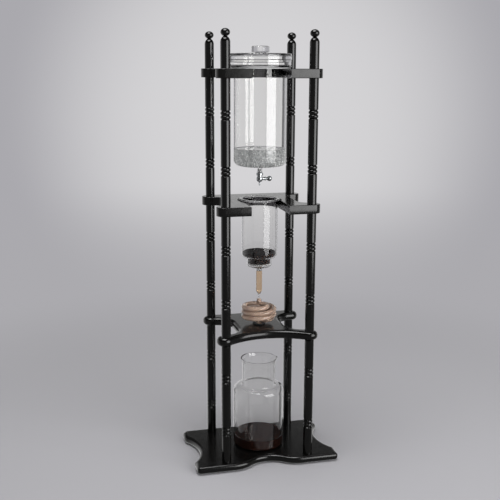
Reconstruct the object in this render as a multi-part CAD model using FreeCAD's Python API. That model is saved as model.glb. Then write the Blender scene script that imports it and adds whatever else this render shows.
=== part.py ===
import FreeCAD, Part
import math
import os

# A cold drip coffee tower: four turned wooden posts carry a base board and three shelves, with the
# water chamber hanging in the top shelf, the brew chamber in the slot of the middle shelf, the drip
# coil on the lower shelf and the carafe on the base board.
# Millimetres. X is the width, the front faces -Y, Z points up and z = 0 is the table.

# Posts
post_spacing_x = 170.0
post_spacing_y = 150.0
post_diameter = 18.5
lower_spindle_length = 244.0
middle_spindle_length = 239.0
upper_spindle_length = 238.0
bead_offset = 67.0
groove_pitch = 7.4
groove_depth = 2.0
groove_half_width = 1.9
bead_proud = 0.25

# Finials
finial_shaft_height = 48.0
finial_neck_height = 57.5
finial_neck_diameter = 6.4
finial_shoulder_fullness = 0.72
finial_ball_diameter = 17.8
finial_ball_height = 14.6

# Base board
foot_height = 2.0
base_thickness = 15.0
base_side_overhang = 61.8
base_front_overhang = 18.0
base_front_land = 68.0
base_front_hollow = 24.0
base_side_waist = 20.0
base_side_span = 60.0
base_front_corner = 7.0
base_back_corner = 13.0
base_edge_round = 6.2
foot_diameter = 22.0
foot_recess = 1.5
foot_inset_x = 28.8
foot_inset_y = 23.0

# Shelves
shelf_thickness = 17.5
lobe_radius = 16.0
lobe_shift_x = 1.5
lobe_shift_y = -3.5
shelf_web = 14.0
shelf_edge_break = 1.0
lower_shelf_throat = 36.5
lower_shelf_hollow = 30.5
lower_shelf_edge_round = 7.8
chamber_clearance = 2.0
brew_clearance = 1.5

# Studs, inserts and screws
stud_diameter = 6.0
insert_diameter = 9.0
insert_length = 15.0
stud_end_gap = 2.0
thread_gap = 0.05
screw_head_diameter = 12.0
screw_head_height = 3.6
screw_recess = 5.0
screw_recess_gap = 0.5
socket_diameter = 4.0
socket_depth = 2.0

# Glass
glass_gap = 0.1
chamber_diameter = 104.0
chamber_wall = 2.4
chamber_bottom_height = 170.0
chamber_corner = 12.0
collar_diameter = 120.0
collar_height = 14.5
collar_floor = 3.0
collar_round = 2.0
outlet_neck_diameter = 10.6
outlet_neck_bore = 7.2
outlet_neck_length = 19.0
seat_ring_thickness = 2.0
seat_ring_inset = 1.0
lid_overhang = 1.0
lid_height = 12.0
lid_plate = 3.0
lid_plug_depth = 5.0
lid_plug_wall = 2.4
lid_plug_gap = 0.4
lid_edge_round = 3.0
lid_knob_diameter = 35.0
lid_knob_height = 12.6
lid_knob_neck = 24.0
lid_knob_stem = 1.6

# Contents of the water chamber
water_depth = 31.0
ice_size = 21.0
ice_margin = 5.75
ice_count = 6
ice_rise = 5.0
ice_turn = 45.0
ice_twist = 7.0

# Needle valve
sleeve_wall = 0.5
valve_below_neck = 7.0
valve_body_diameter = 13.4
valve_bore = 2.4
valve_spigot_length = 13.0
nozzle_diameter = 4.0
nozzle_drop = 13.0
nozzle_lip = 0.4
boss_diameter = 6.4
boss_length = 2.7
gland_diameter = 7.6
gland_length = 2.2
oring_section = 0.9
needle_diameter = 3.0
needle_tip = 1.7
needle_tip_diameter = 1.2
needle_fit = 0.05
knob_ball_diameter = 10.4
knob_clearance = 0.9
knob_hub_diameter = 5.6
knob_hub_length = 6.6
nut_height = 4.8
nut_wall = 1.6

# Brew chamber
brew_diameter = 72.0
brew_wall = 2.2
brew_depth = 117.0
brew_shoulder = 8.0
brew_flange_bearing = 3.0
brew_flange_thickness = 3.0
brew_pad_border = 4.0
brew_pad_thickness = 1.5
cup_diameter = 50.0
cup_depth = 11.0
cup_corner = 5.0
cup_throat = 3.0
nipple_diameter = 8.0
nipple_bore = 4.8
nipple_length = 9.0
filter_thickness = 3.0
filter_gasket_width = 2.5
filter_lift = 3.0
grounds_depth = 22.2

# Drip tube
tube_diameter = 12.4
tube_wall = 1.3
drip_gap = 3.9
tube_taper = 13.0
tube_tip_diameter = 3.2
tube_tip_bore = 1.4
tube_seat_gap = 0.3
grommet_inset = 1.0

# Drip coil
coil_radius = 31.3
coil_tube_diameter = 9.4
coil_tube_wall = 1.2
coil_pitch = 10.0
coil_turns = 2.25
coil_lift = 14.1
coil_start_angle = 90.0
coil_lead = 150.0
coil_bend = 9.0
coil_inlet_rise = 11.5
coil_outlet_drop = 28.0
coil_collar_diameter = 16.0
coil_collar_height = 2.6
coil_bung_flange_diameter = 25.0
coil_bung_flange = 1.6
coil_bung_gap = 0.25
coil_bung_wall = 3.55

# Carafe
carafe_diameter = 104.8
carafe_wall = 2.4
carafe_height = 187.0
carafe_neck_diameter = 68.4
carafe_neck_height = 134.0
carafe_rim_diameter = 74.0
carafe_rim_height = 7.0
carafe_shoulder = 11.0
carafe_foot_round = 7.0
carafe_throat = 5.0
coffee_level = 22.0

# Smoothness of the coil's centre line: points on each stem, bend, spiral and turn
stem_points = 4
bend_points = 6
lead_points = 10
turn_points = 20

# Places worked out from the sizes above
post_x = post_spacing_x / 2
post_y = post_spacing_y / 2
post_radius = post_diameter / 2
base_half_width = post_x + base_side_overhang
base_half_depth = post_y + base_front_overhang
foot_x = base_half_width - foot_inset_x
foot_y = base_half_depth - foot_inset_y
lobe_x = post_x + lobe_shift_x
lobe_y = post_y + lobe_shift_y
chamber_radius = chamber_diameter / 2
top_hole_diameter = chamber_diameter + 2 * chamber_clearance
shelf_waist = top_hole_diameter / 2 + shelf_web
lower_shelf_waist = lobe_x - lower_shelf_throat
lower_shelf_front = lobe_y + lobe_radius - lower_shelf_hollow
slot_half_width = brew_diameter / 2 + brew_clearance
brew_flange_diameter = 2 * (slot_half_width + brew_flange_bearing)
brew_pad_diameter = brew_flange_diameter + 2 * brew_pad_border
coil_hole_diameter = coil_tube_diameter + 2 * (coil_bung_gap + coil_bung_wall)
lid_diameter = collar_diameter + 2 * lid_overhang
ice_ring_radius = chamber_radius - chamber_wall - ice_margin - ice_size * math.sqrt(0.5)
stud_reach = insert_length - stud_end_gap
boss_end = valve_body_diameter / 2 + boss_length
knob_place = boss_end + oring_section + gland_length + knob_clearance + knob_hub_length

# Heights worked out from the sizes above
base_top = foot_height + base_thickness
lower_shelf_bottom = base_top + lower_spindle_length
lower_shelf_top = lower_shelf_bottom + shelf_thickness
middle_shelf_bottom = lower_shelf_top + middle_spindle_length
middle_shelf_top = middle_shelf_bottom + shelf_thickness
top_shelf_bottom = middle_shelf_top + upper_spindle_length
top_shelf_top = top_shelf_bottom + shelf_thickness
collar_bottom = top_shelf_top + seat_ring_thickness
collar_top = collar_bottom + collar_height
chamber_bottom = top_shelf_bottom - chamber_bottom_height
neck_end = chamber_bottom - outlet_neck_length
spigot_top = neck_end + valve_spigot_length
valve_z = neck_end - valve_below_neck
cup_top = middle_shelf_top - brew_depth - cup_throat
cup_bottom = cup_top - cup_depth - cup_corner
filter_floor = cup_bottom + brew_wall + filter_lift
tube_top = cup_bottom - tube_seat_gap
coil_low = lower_shelf_top + coil_lift - coil_pitch * coil_lead / 360
coil_high = coil_low + coil_pitch * (coil_turns + coil_lead / 180)
coil_inlet = coil_high + coil_inlet_rise
tube_tip = coil_inlet + drip_gap

CORNERS = {
    "front_left": (-post_x, -post_y),
    "front_right": (post_x, -post_y),
    "back_left": (-post_x, post_y),
    "back_right": (post_x, post_y),
}

TOUCH = 1e-6
Vector = FreeCAD.Vector
UP = Vector(0, 0, 1)


def in_plan(point):
    """A point of a flat outline, in the XY plane."""
    return Vector(point[0], point[1], 0)


def in_profile(point):
    """A point of a turned profile: radius and height."""
    return Vector(point[0], 0, point[1])


def closed_face(start, steps, place):
    """A face from a start point and steps: a point is a line to it, a pair of points is an arc."""
    edges = []
    here = start
    for step in steps + [start]:
        if isinstance(step[0], tuple):
            via, end = step
            edges.append(Part.Arc(place(here), place(via), place(end)).toShape())
        else:
            end = step
            if math.dist(here, end) > TOUCH:
                edges.append(Part.makeLine(place(here), place(end)))
        here = end
    return Part.Face(Part.Wire(edges))


def turned(start, steps):
    """A solid turned about the Z axis from a profile of radii and heights."""
    return closed_face(start, steps, in_profile).revolve(Vector(0, 0, 0), UP, 360)


def board(start, steps, thickness, bottom):
    """A flat board cut from an outline, with its underside at the given height."""
    solid = closed_face(start, steps, in_plan).extrude(Vector(0, 0, thickness))
    solid.translate(Vector(0, 0, bottom))
    return solid


def rod(diameter, bottom, top, at=(0, 0)):
    """An upright round rod."""
    return Part.makeCylinder(diameter / 2, top - bottom, Vector(at[0], at[1], bottom))


def ring(outer, inner, bottom, top):
    """An upright ring or tube on the tower's axis."""
    return rod(outer, bottom, top).cut(rod(inner, bottom, top))


def mirrored(steps):
    """The left half of a symmetric outline, walked back from the end of its right half."""
    ends = [step[1] if isinstance(step[0], tuple) else step for step in steps]
    left = []
    for index in range(len(steps) - 1, 0, -1):
        end = (-ends[index - 1][0], ends[index - 1][1])
        if isinstance(steps[index][0], tuple):
            via = steps[index][0]
            left.append(((-via[0], via[1]), end))
        else:
            left.append(end)
    return left


def on_circle(centre, radius, degrees):
    """The point of a circle at an angle."""
    angle = math.radians(degrees)
    return (centre[0] + radius * math.cos(angle), centre[1] + radius * math.sin(angle))


def arc_step(centre, radius, first, last):
    """An arc of a circle between two angles, as a step of an outline."""
    return (on_circle(centre, radius, (first + last) / 2), on_circle(centre, radius, last))


def round_rim(solid, radius, bottom, top):
    """Round the edges of a board's outline at its underside and its top."""
    edges = []
    for edge in solid.Edges:
        box = edge.BoundBox
        flat = box.ZMax - box.ZMin < TOUCH
        level = min(abs(box.ZMax - bottom), abs(box.ZMax - top)) < TOUCH
        if flat and level:
            edges.append(edge)
    return solid.makeFillet(radius, edges)


def group(solids):
    """Several separate solids kept in one file."""
    return Part.makeCompound(solids)


def at_posts(solid):
    """A copy of a solid at each post."""
    copies = []
    for x, y in CORNERS.values():
        copy = solid.copy()
        copy.translate(Vector(x, y, 0))
        copies.append(copy)
    return copies


def bead_steps(middle):
    """The turned beads of a post at one height: three grooves with two beads between them."""
    groove = post_radius - groove_depth
    crown = post_radius + bead_proud
    half = groove_half_width
    steps = [(post_radius, middle - groove_pitch - half), (groove, middle - groove_pitch)]
    for count in (-1, 0):
        low = middle + count * groove_pitch
        steps.append(((crown, low + groove_pitch / 2), (groove, low + groove_pitch)))
    steps.append((post_radius, middle + groove_pitch + half))
    return steps


def spindle(bottom, length):
    """A turned spindle with a bead group near each end and a bore in each end for its insert."""
    top = bottom + length
    steps = [(post_radius, bottom)]
    steps += bead_steps(bottom + bead_offset)
    steps += bead_steps(top - bead_offset)
    steps += [(post_radius, top), (0, top)]
    body = turned((0, bottom), steps)
    lower_bore = rod(insert_diameter, bottom, bottom + insert_length)
    upper_bore = rod(insert_diameter, top - insert_length, top)
    return body.cut(lower_bore).cut(upper_bore)


def insert(bottom):
    """A brass threaded insert."""
    bore = stud_diameter + 2 * thread_gap
    return ring(insert_diameter - 2 * thread_gap, bore, bottom, bottom + insert_length)


def tier_inserts(bottom, length):
    """The inserts at both ends of one tier of spindles."""
    return group(at_posts(insert(bottom)) + at_posts(insert(bottom + length - insert_length)))


def shelf_studs(bottom):
    """The studs that join the posts through one shelf."""
    return group(at_posts(rod(stud_diameter, bottom - stud_reach, bottom + shelf_thickness + stud_reach)))


def finial():
    """A turned finial: a straight shaft, a waisted neck and a flattened ball."""
    bottom = top_shelf_top
    shaft_top = bottom + finial_shaft_height
    neck_z = bottom + finial_neck_height
    neck = finial_neck_diameter / 2
    ball = finial_ball_diameter / 2
    half = finial_ball_height / 2
    squash = half / ball
    neck_angle = math.asin(neck / ball)
    ball_z = neck_z + half * math.cos(neck_angle)
    full = neck + (post_radius - neck) * finial_shoulder_fullness
    shoulder = ((full, (shaft_top + neck_z) / 2), (neck, neck_z))
    steps = [(post_radius, bottom), (post_radius, shaft_top), shoulder, (0, neck_z)]
    shaft = turned((0, bottom), steps)
    sphere = Part.makeSphere(ball)
    flatten = FreeCAD.Matrix()
    flatten.scale(Vector(1, 1, squash))
    knob = sphere.transformGeometry(flatten)
    knob.translate(Vector(0, 0, ball_z))
    return shaft.fuse(knob).cut(rod(insert_diameter, bottom, bottom + insert_length))


def base_board():
    """The base board, with a hollowed front, waisted sides and a rounded edge."""
    front = -base_half_depth
    rise = base_front_hollow / 2
    run = base_front_land / 2
    bend = (run * run + rise * rise) / (2 * rise)
    sweep = math.degrees(math.asin(run / bend))
    hollow = (0, front + base_front_hollow - bend)
    bulge = (base_front_land, front + bend)
    side = base_half_width
    waist = (side - base_side_waist, 0)
    low = base_front_corner
    high = base_back_corner
    right = [
        (0, front + base_front_hollow),
        arc_step(hollow, bend, 90, 90 - sweep),
        arc_step(bulge, bend, 270 - sweep, 270),
        (side - low, front),
        arc_step((side - low, front + low), low, 270, 360),
        (side, -base_side_span),
        (waist, (side, base_side_span)),
        (side, base_half_depth - high),
        arc_step((side - high, base_half_depth - high), high, 0, 90),
        (0, base_half_depth),
    ]
    bottom = foot_height
    solid = board(right[0], right[1:] + mirrored(right), base_thickness, bottom)
    solid = round_rim(solid, base_edge_round, bottom, base_top)
    for x, y in CORNERS.values():
        solid = solid.cut(rod(stud_diameter + 2 * thread_gap, bottom, base_top, (x, y)))
        recess = screw_head_diameter + 2 * screw_recess_gap
        solid = solid.cut(rod(recess, bottom, bottom + screw_recess, (x, y)))
    for x, y in foot_places():
        solid = solid.cut(rod(foot_diameter + 2 * thread_gap, bottom, bottom + foot_recess, (x, y)))
    return solid


def foot_places():
    """The places of the four feet."""
    return [(sx * foot_x, sy * foot_y) for sx in (-1, 1) for sy in (-1, 1)]


def base_feet():
    """The four rubber feet under the base board."""
    return group([rod(foot_diameter, 0, foot_height + foot_recess, place) for place in foot_places()])


def base_screws():
    """The four screws that hold the lower spindles down, with a hexagon socket in each head."""
    head_bottom = foot_height + screw_recess - screw_head_height
    head_top = foot_height + screw_recess
    head = rod(screw_head_diameter, head_bottom, head_top)
    shank = rod(stud_diameter, head_top, base_top + stud_reach)
    corners = [on_circle((0, 0), socket_diameter / 2, 60 * turn) for turn in range(6)]
    socket = board(corners[0], corners[1:], socket_depth, head_bottom)
    return group(at_posts(head.fuse(shank).cut(socket)))


def back_half(waist):
    """The outline of a shelf from its front right lobe round to the middle of its back."""
    throat = lobe_x - waist
    straight = lobe_y - lobe_radius - throat
    front = (lobe_x, -lobe_y)
    back = (lobe_x, lobe_y)
    return [
        arc_step(front, lobe_radius, 0, 90),
        arc_step((lobe_x, -straight), throat, 270, 180),
        (waist, straight),
        arc_step((lobe_x, straight), throat, 180, 90),
        arc_step(back, lobe_radius, -90, 0),
        arc_step(back, lobe_radius, 0, 90),
        (0, lobe_y + lobe_radius),
    ]


def slotted_shelf(bottom, hole_diameter):
    """A shelf with straight front arms, a hole and a slot from the hole to the front."""
    front = -lobe_y - lobe_radius
    right = [
        (0, front),
        (lobe_x, front),
        arc_step((lobe_x, -lobe_y), lobe_radius, 270, 360),
    ] + back_half(shelf_waist)
    solid = board(right[0], right[1:] + mirrored(right), shelf_thickness, bottom)
    slot = Part.makeBox(2 * slot_half_width, -front, shelf_thickness, Vector(-slot_half_width, front, bottom))
    solid = solid.cut(slot.fuse(rod(hole_diameter, bottom, bottom + shelf_thickness)))
    solid = round_rim(solid, shelf_edge_break, bottom, bottom + shelf_thickness)
    return drilled(solid, bottom)


def lower_shelf():
    """The lower shelf, with a hollowed front, a rounded edge and the hole for the coil's bung."""
    reach = lobe_x**2 + lobe_y**2 - 2 * lobe_y * lower_shelf_front
    reach += lower_shelf_front**2 - lobe_radius**2
    bend = reach / (2 * (lobe_radius + lobe_y - lower_shelf_front))
    hollow = (0, -lower_shelf_front - bend)
    tilt = math.degrees(math.atan2(lobe_x, -lobe_y - hollow[1]))
    right = [
        (0, -lower_shelf_front),
        arc_step(hollow, bend, 90, 90 - tilt),
        arc_step((lobe_x, -lobe_y), lobe_radius, 270 - tilt, 360),
    ] + back_half(lower_shelf_waist)
    bottom = lower_shelf_bottom
    solid = board(right[0], right[1:] + mirrored(right), shelf_thickness, bottom)
    solid = round_rim(solid, lower_shelf_edge_round, bottom, lower_shelf_top)
    return drilled(solid, bottom).cut(rod(coil_hole_diameter, bottom, lower_shelf_top))


def drilled(solid, bottom):
    """A shelf with the holes for its studs."""
    for x, y in CORNERS.values():
        hole = rod(stud_diameter + 2 * thread_gap, bottom, bottom + shelf_thickness, (x, y))
        solid = solid.cut(hole)
    return solid


def middle_shelf():
    """The middle shelf, with a shallow recess for the pad under the brew chamber."""
    solid = slotted_shelf(middle_shelf_bottom, 2 * slot_half_width)
    recess = rod(brew_pad_diameter, middle_shelf_top - brew_pad_thickness, middle_shelf_top)
    return solid.cut(recess)


def brew_pad():
    """The silicone pad round the slot's end, open where the slot is."""
    bottom = middle_shelf_top - brew_pad_thickness
    outer = brew_pad_diameter - 2 * glass_gap
    solid = ring(outer, 2 * slot_half_width, bottom, middle_shelf_top)
    opening = Part.makeBox(2 * slot_half_width, outer, brew_pad_thickness,
                           Vector(-slot_half_width, -outer, bottom))
    return solid.cut(opening)


def water_chamber():
    """The glass water chamber: a wide collar, a straight body and a narrow outlet neck."""
    outer = chamber_radius
    inner = outer - chamber_wall
    collar = collar_diameter / 2
    turn = chamber_corner
    floor = chamber_bottom + chamber_wall
    diagonal = turn * math.sqrt(0.5)
    thin = turn - chamber_wall
    thin_diagonal = thin * math.sqrt(0.5)
    steps = [
        (outlet_neck_diameter / 2, neck_end),
        (outlet_neck_diameter / 2, chamber_bottom),
        (outer - turn, chamber_bottom),
        ((outer - turn + diagonal, chamber_bottom + turn - diagonal), (outer, chamber_bottom + turn)),
        (outer, collar_bottom),
        (collar - collar_round, collar_bottom),
        arc_step((collar - collar_round, collar_bottom + collar_round), collar_round, -90, 0),
        (collar, collar_top),
        (collar - chamber_wall, collar_top),
        (collar - chamber_wall, collar_bottom + collar_floor),
        (inner, collar_bottom + collar_floor),
        (inner, chamber_bottom + turn),
        ((outer - turn + thin_diagonal, chamber_bottom + turn - thin_diagonal), (outer - turn, floor)),
        (outlet_neck_bore / 2, floor),
    ]
    return turned((outlet_neck_bore / 2, neck_end), steps)


def chamber_seat_ring():
    """The silicone ring between the collar of the water chamber and the top shelf."""
    outer = collar_diameter - 2 * seat_ring_inset
    return ring(outer, top_hole_diameter, top_shelf_top, collar_bottom)


def water_lid():
    """The glass lid of the water chamber, with a plug under it and a round knob on top."""
    outer = lid_diameter / 2
    plug = collar_diameter / 2 - chamber_wall - lid_plug_gap
    hollow = plug - lid_plug_wall
    top = collar_top + lid_height
    knob = lid_knob_diameter / 2
    neck = lid_knob_neck / 2
    knob_bottom = top + lid_knob_stem
    half = lid_knob_height / 2
    steps = [
        (plug, collar_top - lid_plug_depth),
        (plug, collar_top),
        (outer, collar_top),
        (outer, top - lid_edge_round),
        arc_step((outer - lid_edge_round, top - lid_edge_round), lid_edge_round, 0, 90),
        (neck, top),
        (neck, knob_bottom),
        (knob - half, knob_bottom),
        ((knob, knob_bottom + half), (knob - half, knob_bottom + 2 * half)),
        (0, knob_bottom + 2 * half),
        (0, top - lid_plate),
        (hollow, top - lid_plate),
    ]
    return turned((hollow, collar_top - lid_plug_depth), steps)


def ice_cubes():
    """The ice cubes that float in the water: one in the middle and a ring of them round it."""
    surface = chamber_bottom + chamber_wall + water_depth
    cube_bottom = surface + ice_rise - ice_size
    corner = Vector(-ice_size / 2, -ice_size / 2, cube_bottom)
    cube = Part.makeBox(ice_size, ice_size, ice_size, corner)
    cubes = [cube]
    for count in range(ice_count):
        angle = 360 * count / ice_count
        copy = cube.copy()
        copy.rotate(Vector(0, 0, 0), UP, ice_turn + ice_twist * count - angle)
        place = on_circle((0, 0), ice_ring_radius, angle)
        copy.translate(Vector(place[0], place[1], 0))
        cubes.append(copy)
    return cubes


def water(cubes):
    """The water in the chamber and its outlet neck, less the ice that floats in it."""
    inner = chamber_radius - chamber_wall - glass_gap
    bottom = chamber_bottom + chamber_wall + glass_gap
    surface = chamber_bottom + chamber_wall + water_depth
    turn = chamber_corner - chamber_wall
    diagonal = turn * math.sqrt(0.5)
    steps = [
        (inner - turn, bottom),
        ((inner - turn + diagonal, bottom + turn - diagonal), (inner, bottom + turn)),
        (inner, surface),
        (0, surface),
    ]
    body = turned((0, bottom), steps)
    neck = rod(outlet_neck_bore - 2 * glass_gap, spigot_top + glass_gap, bottom)
    return body.fuse(neck).cut(group(cubes))


def valve_body():
    """The valve body: a spigot into the glass neck, a round barrel, a nozzle and a side boss."""
    spigot = outlet_neck_bore / 2 - sleeve_wall
    nozzle = nozzle_diameter / 2
    tip = valve_z - nozzle_drop
    ball = Part.makeSphere(valve_body_diameter / 2, Vector(0, 0, valve_z))
    stem = rod(2 * spigot, valve_z, spigot_top)
    shoulder = rod(outlet_neck_diameter, valve_z, neck_end)
    cone = Part.makeCone(nozzle - nozzle_lip, nozzle, nozzle_drop, Vector(0, 0, tip))
    boss = along_x(boss_diameter, 0, 0, boss_end)
    passage = rod(valve_bore, tip, spigot_top)
    way = along_x(needle_diameter + 2 * needle_fit, 0, 0, boss_end)
    return ball.fuse([stem, shoulder, cone, boss]).removeSplitter().cut(passage).cut(way)


def valve_sleeve():
    """The silicone sleeve that holds the valve's spigot in the glass neck."""
    return ring(outlet_neck_bore, outlet_neck_bore - 2 * sleeve_wall, neck_end, spigot_top)


def valve_collar_nut():
    """The collar round the end of the glass neck."""
    inner = outlet_neck_diameter + 2 * glass_gap
    return ring(inner + 2 * nut_wall, inner, neck_end, neck_end + nut_height)


def along_x(diameter, bore, first, last):
    """A ring or rod along X at the height of the valve."""
    start = Vector(first, 0, valve_z)
    solid = Part.makeCylinder(diameter / 2, last - first, start, Vector(1, 0, 0))
    if bore:
        solid = solid.cut(Part.makeCylinder(bore / 2, last - first, start, Vector(1, 0, 0)))
    return solid


def valve_needle():
    """The needle, with a conical tip, a threaded shaft and a plain end in the knob."""
    first = valve_bore / 2
    cone = Part.makeCone(needle_tip_diameter / 2, needle_diameter / 2, needle_tip,
                         Vector(first, 0, valve_z), Vector(1, 0, 0))
    return cone.fuse(along_x(needle_diameter, 0, first + needle_tip, knob_place))


def valve_knob():
    """The ball knob of the needle, with a short hub and a blind bore."""
    ball = Part.makeSphere(knob_ball_diameter / 2, Vector(knob_place, 0, valve_z))
    hub = along_x(knob_hub_diameter, 0, knob_place - knob_hub_length, knob_place)
    bore = along_x(needle_diameter + 2 * needle_fit, 0, knob_place - knob_hub_length,
                   knob_place + needle_fit)
    return ball.fuse(hub).cut(bore)


def valve_gland_nut():
    """The gland nut on the end of the boss."""
    bore = needle_diameter + 2 * needle_fit
    return along_x(gland_diameter, bore, boss_end + oring_section, boss_end + oring_section + gland_length)


def valve_oring():
    """The seal between the boss and the gland nut."""
    return along_x(boss_diameter, needle_diameter + 2 * needle_fit, boss_end, boss_end + oring_section)


def brew_profile(inset):
    """The side of the brew chamber from its cup's floor up to its shoulder, set in by an amount."""
    body = brew_diameter / 2 - brew_shoulder
    cup = cup_diameter / 2 - inset
    corner = cup_corner - inset
    throat = cup_throat + inset
    shoulder = brew_shoulder - inset
    return [
        (cup - corner, cup_bottom + inset),
        arc_step((cup - corner, cup_bottom + cup_corner), corner, -90, 0),
        (cup, cup_top),
        arc_step((cup + throat, cup_top), throat, 180, 90),
        (body, cup_top + throat),
        arc_step((body, cup_top + cup_throat + brew_shoulder), shoulder, -90, 0),
    ]


def brew_chamber():
    """The glass brew chamber: a flanged rim, a straight body, a narrow cup and an outlet nipple."""
    body = brew_diameter / 2
    flange = brew_flange_diameter / 2
    seat = middle_shelf_top
    rim = seat + brew_flange_thickness
    low = cup_bottom - nipple_length
    floor = cup_bottom + brew_wall
    outside = [(nipple_diameter / 2, low), (nipple_diameter / 2, cup_bottom)] + brew_profile(0)
    outside += [(body, seat), (flange, seat), (flange, rim), (0, rim)]
    inside = [(nipple_bore / 2, low), (nipple_bore / 2, floor)] + brew_profile(brew_wall)
    inside += [(body - brew_wall, rim), (0, rim)]
    return turned((0, low), outside).cut(turned((0, low), inside))


def filter_disc():
    """The ceramic filter disc low in the cup."""
    diameter = cup_diameter - 2 * brew_wall - 2 * filter_gasket_width
    return rod(diameter - 2 * glass_gap, filter_floor, filter_floor + filter_thickness)


def filter_gasket():
    """The silicone gasket round the filter disc."""
    outer = cup_diameter - 2 * brew_wall - 2 * glass_gap
    inner = cup_diameter - 2 * brew_wall - 2 * filter_gasket_width
    return ring(outer, inner, filter_floor, filter_floor + filter_thickness)


def coffee_grounds():
    """The bed of wet coffee grounds on the filter, filling the cup and the foot of the chamber."""
    low = filter_floor + filter_thickness
    cup = cup_diameter / 2 - brew_wall - glass_gap
    steps = [(cup, low)] + brew_profile(brew_wall + glass_gap)[2:]
    body = brew_diameter / 2 - brew_wall - glass_gap
    steps += [(body, low + grounds_depth), (0, low + grounds_depth)]
    return turned((0, low), steps)


def tube_grommet():
    """The silicone grommet between the outlet nipple and the drip tube."""
    bottom = cup_bottom - nipple_length + grommet_inset
    inner = nipple_diameter + 2 * thread_gap
    return ring(tube_diameter - 2 * tube_wall - 2 * thread_gap, inner, bottom, tube_top)


def drip_tube():
    """The glass drip tube, drawn down to a fine tip over the coil's inlet."""
    outer = tube_diameter / 2
    inner = outer - tube_wall
    steps = [
        (tube_tip_diameter / 2, tube_tip),
        (outer, tube_tip + tube_taper),
        (outer, tube_top),
        (inner, tube_top),
        (inner, tube_tip + tube_taper),
    ]
    return turned((tube_tip_bore / 2, tube_tip), steps)


def drip_tube_coffee():
    """The coffee that stands in the drip tube."""
    inner = tube_diameter / 2 - tube_wall - glass_gap
    tip = tube_tip_bore / 2 - glass_gap
    top = cup_bottom - nipple_length - glass_gap
    return turned((0, tube_tip), [(tip, tube_tip), (inner, tube_tip + tube_taper), (inner, top), (0, top)])


def coil_lead_in(share, outward_angle, height, turn):
    """A point of the spiral between a bend and the helix, and its swept angle, at a share of it."""
    swept = coil_lead * share**2
    radius = coil_bend + (coil_radius - coil_bend) * math.sin(share * math.pi / 2)
    angle = math.radians(outward_angle + turn * swept)
    level = height + turn * coil_pitch * swept / 360
    return Vector(radius * math.cos(angle), radius * math.sin(angle), level)


def coil_bend_point(share, outward_angle, height, turn):
    """A point of the quarter bend between an upright end of the coil and its spiral."""
    bend = math.radians(90 * share)
    radius = coil_bend * (1 - math.cos(bend))
    angle = math.radians(outward_angle)
    level = height - turn * coil_bend * (1 - math.sin(bend))
    return Vector(radius * math.cos(angle), radius * math.sin(angle), level)


def coil_end_points(end, outward_angle, height, turn):
    """The points of one end of the coil, from its upright stem along its bend and its spiral."""
    stem = height - turn * coil_bend - end
    points = [Vector(0, 0, end + stem * index / stem_points) for index in range(stem_points)]
    for index in range(bend_points):
        points.append(coil_bend_point(index / bend_points, outward_angle, height, turn))
    for index in range(lead_points):
        points.append(coil_lead_in(index / lead_points, outward_angle, height, turn))
    return points


def coil_path():
    """The centre line of the coil: up the outlet, out to the helix, round it and in to the inlet."""
    first = coil_start_angle - coil_lead
    last = coil_start_angle + 360 * coil_turns + coil_lead
    points = coil_end_points(lower_shelf_top - coil_outlet_drop, first, coil_low, 1)
    count = math.ceil(turn_points * coil_turns)
    for index in range(count + 1):
        turn = coil_turns * index / count
        angle = math.radians(coil_start_angle + 360 * turn)
        height = lower_shelf_top + coil_lift + coil_pitch * turn
        points.append(Vector(coil_radius * math.cos(angle), coil_radius * math.sin(angle), height))
    points += reversed(coil_end_points(coil_inlet, last, coil_high, -1))
    curve = Part.BSplineCurve()
    curve.interpolate(points)
    return Part.Wire([curve.toShape()])


def coil_sweep(diameter):
    """A round section swept along the coil."""
    path = coil_path()
    start = path.Vertexes[0].Point
    circle = Part.Wire([Part.makeCircle(diameter / 2, start, UP)])
    return path.makePipeShell([circle], True, False)


def drip_coil():
    """The glass coil, with a collar that rests on the bung in the lower shelf."""
    bore = coil_tube_diameter - 2 * coil_tube_wall
    seat = lower_shelf_top + coil_bung_flange
    collar = rod(coil_collar_diameter, seat, seat + coil_collar_height)
    return coil_sweep(coil_tube_diameter).fuse(collar).cut(coil_sweep(bore))


def coil_coffee():
    """The coffee that fills the coil."""
    return coil_sweep(coil_tube_diameter - 2 * coil_tube_wall - 2 * glass_gap)


def coil_bung():
    """The silicone bung in the lower shelf that holds the coil's outlet."""
    bore = coil_tube_diameter + 2 * coil_bung_gap
    flange = ring(coil_bung_flange_diameter, bore, lower_shelf_top, lower_shelf_top + coil_bung_flange)
    body = ring(coil_hole_diameter, bore, lower_shelf_bottom, lower_shelf_top)
    return flange.fuse(body)


def carafe():
    """The glass carafe: a round foot, a straight body, a shoulder, a neck and a turned-out rim."""
    outer = carafe_diameter / 2
    wall = carafe_wall
    neck = carafe_neck_diameter / 2
    rim = carafe_rim_diameter / 2
    foot = carafe_foot_round
    bottom = base_top
    floor = bottom + wall
    top = bottom + carafe_height
    throat = bottom + carafe_neck_height
    turn = carafe_shoulder
    body_top = throat - carafe_throat - turn
    steps = [
        (outer - foot, bottom),
        arc_step((outer - foot, bottom + foot), foot, -90, 0),
        (outer, body_top),
        arc_step((outer - turn, body_top), turn, 0, 90),
        (neck + carafe_throat, body_top + turn),
        arc_step((neck + carafe_throat, throat), carafe_throat, 270, 180),
        (neck, top - carafe_rim_height),
        (rim, top),
        (rim - wall, top),
        (neck - wall, top - carafe_rim_height),
        (neck - wall, throat),
        arc_step((neck + carafe_throat, throat), carafe_throat + wall, 180, 270),
        (outer - turn, body_top + turn - wall),
        arc_step((outer - turn, body_top), turn - wall, 90, 0),
        (outer - wall, bottom + foot),
        arc_step((outer - foot, bottom + foot), foot - wall, 0, -90),
    ]
    return turned((0, bottom), steps + [(0, floor)])


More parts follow.
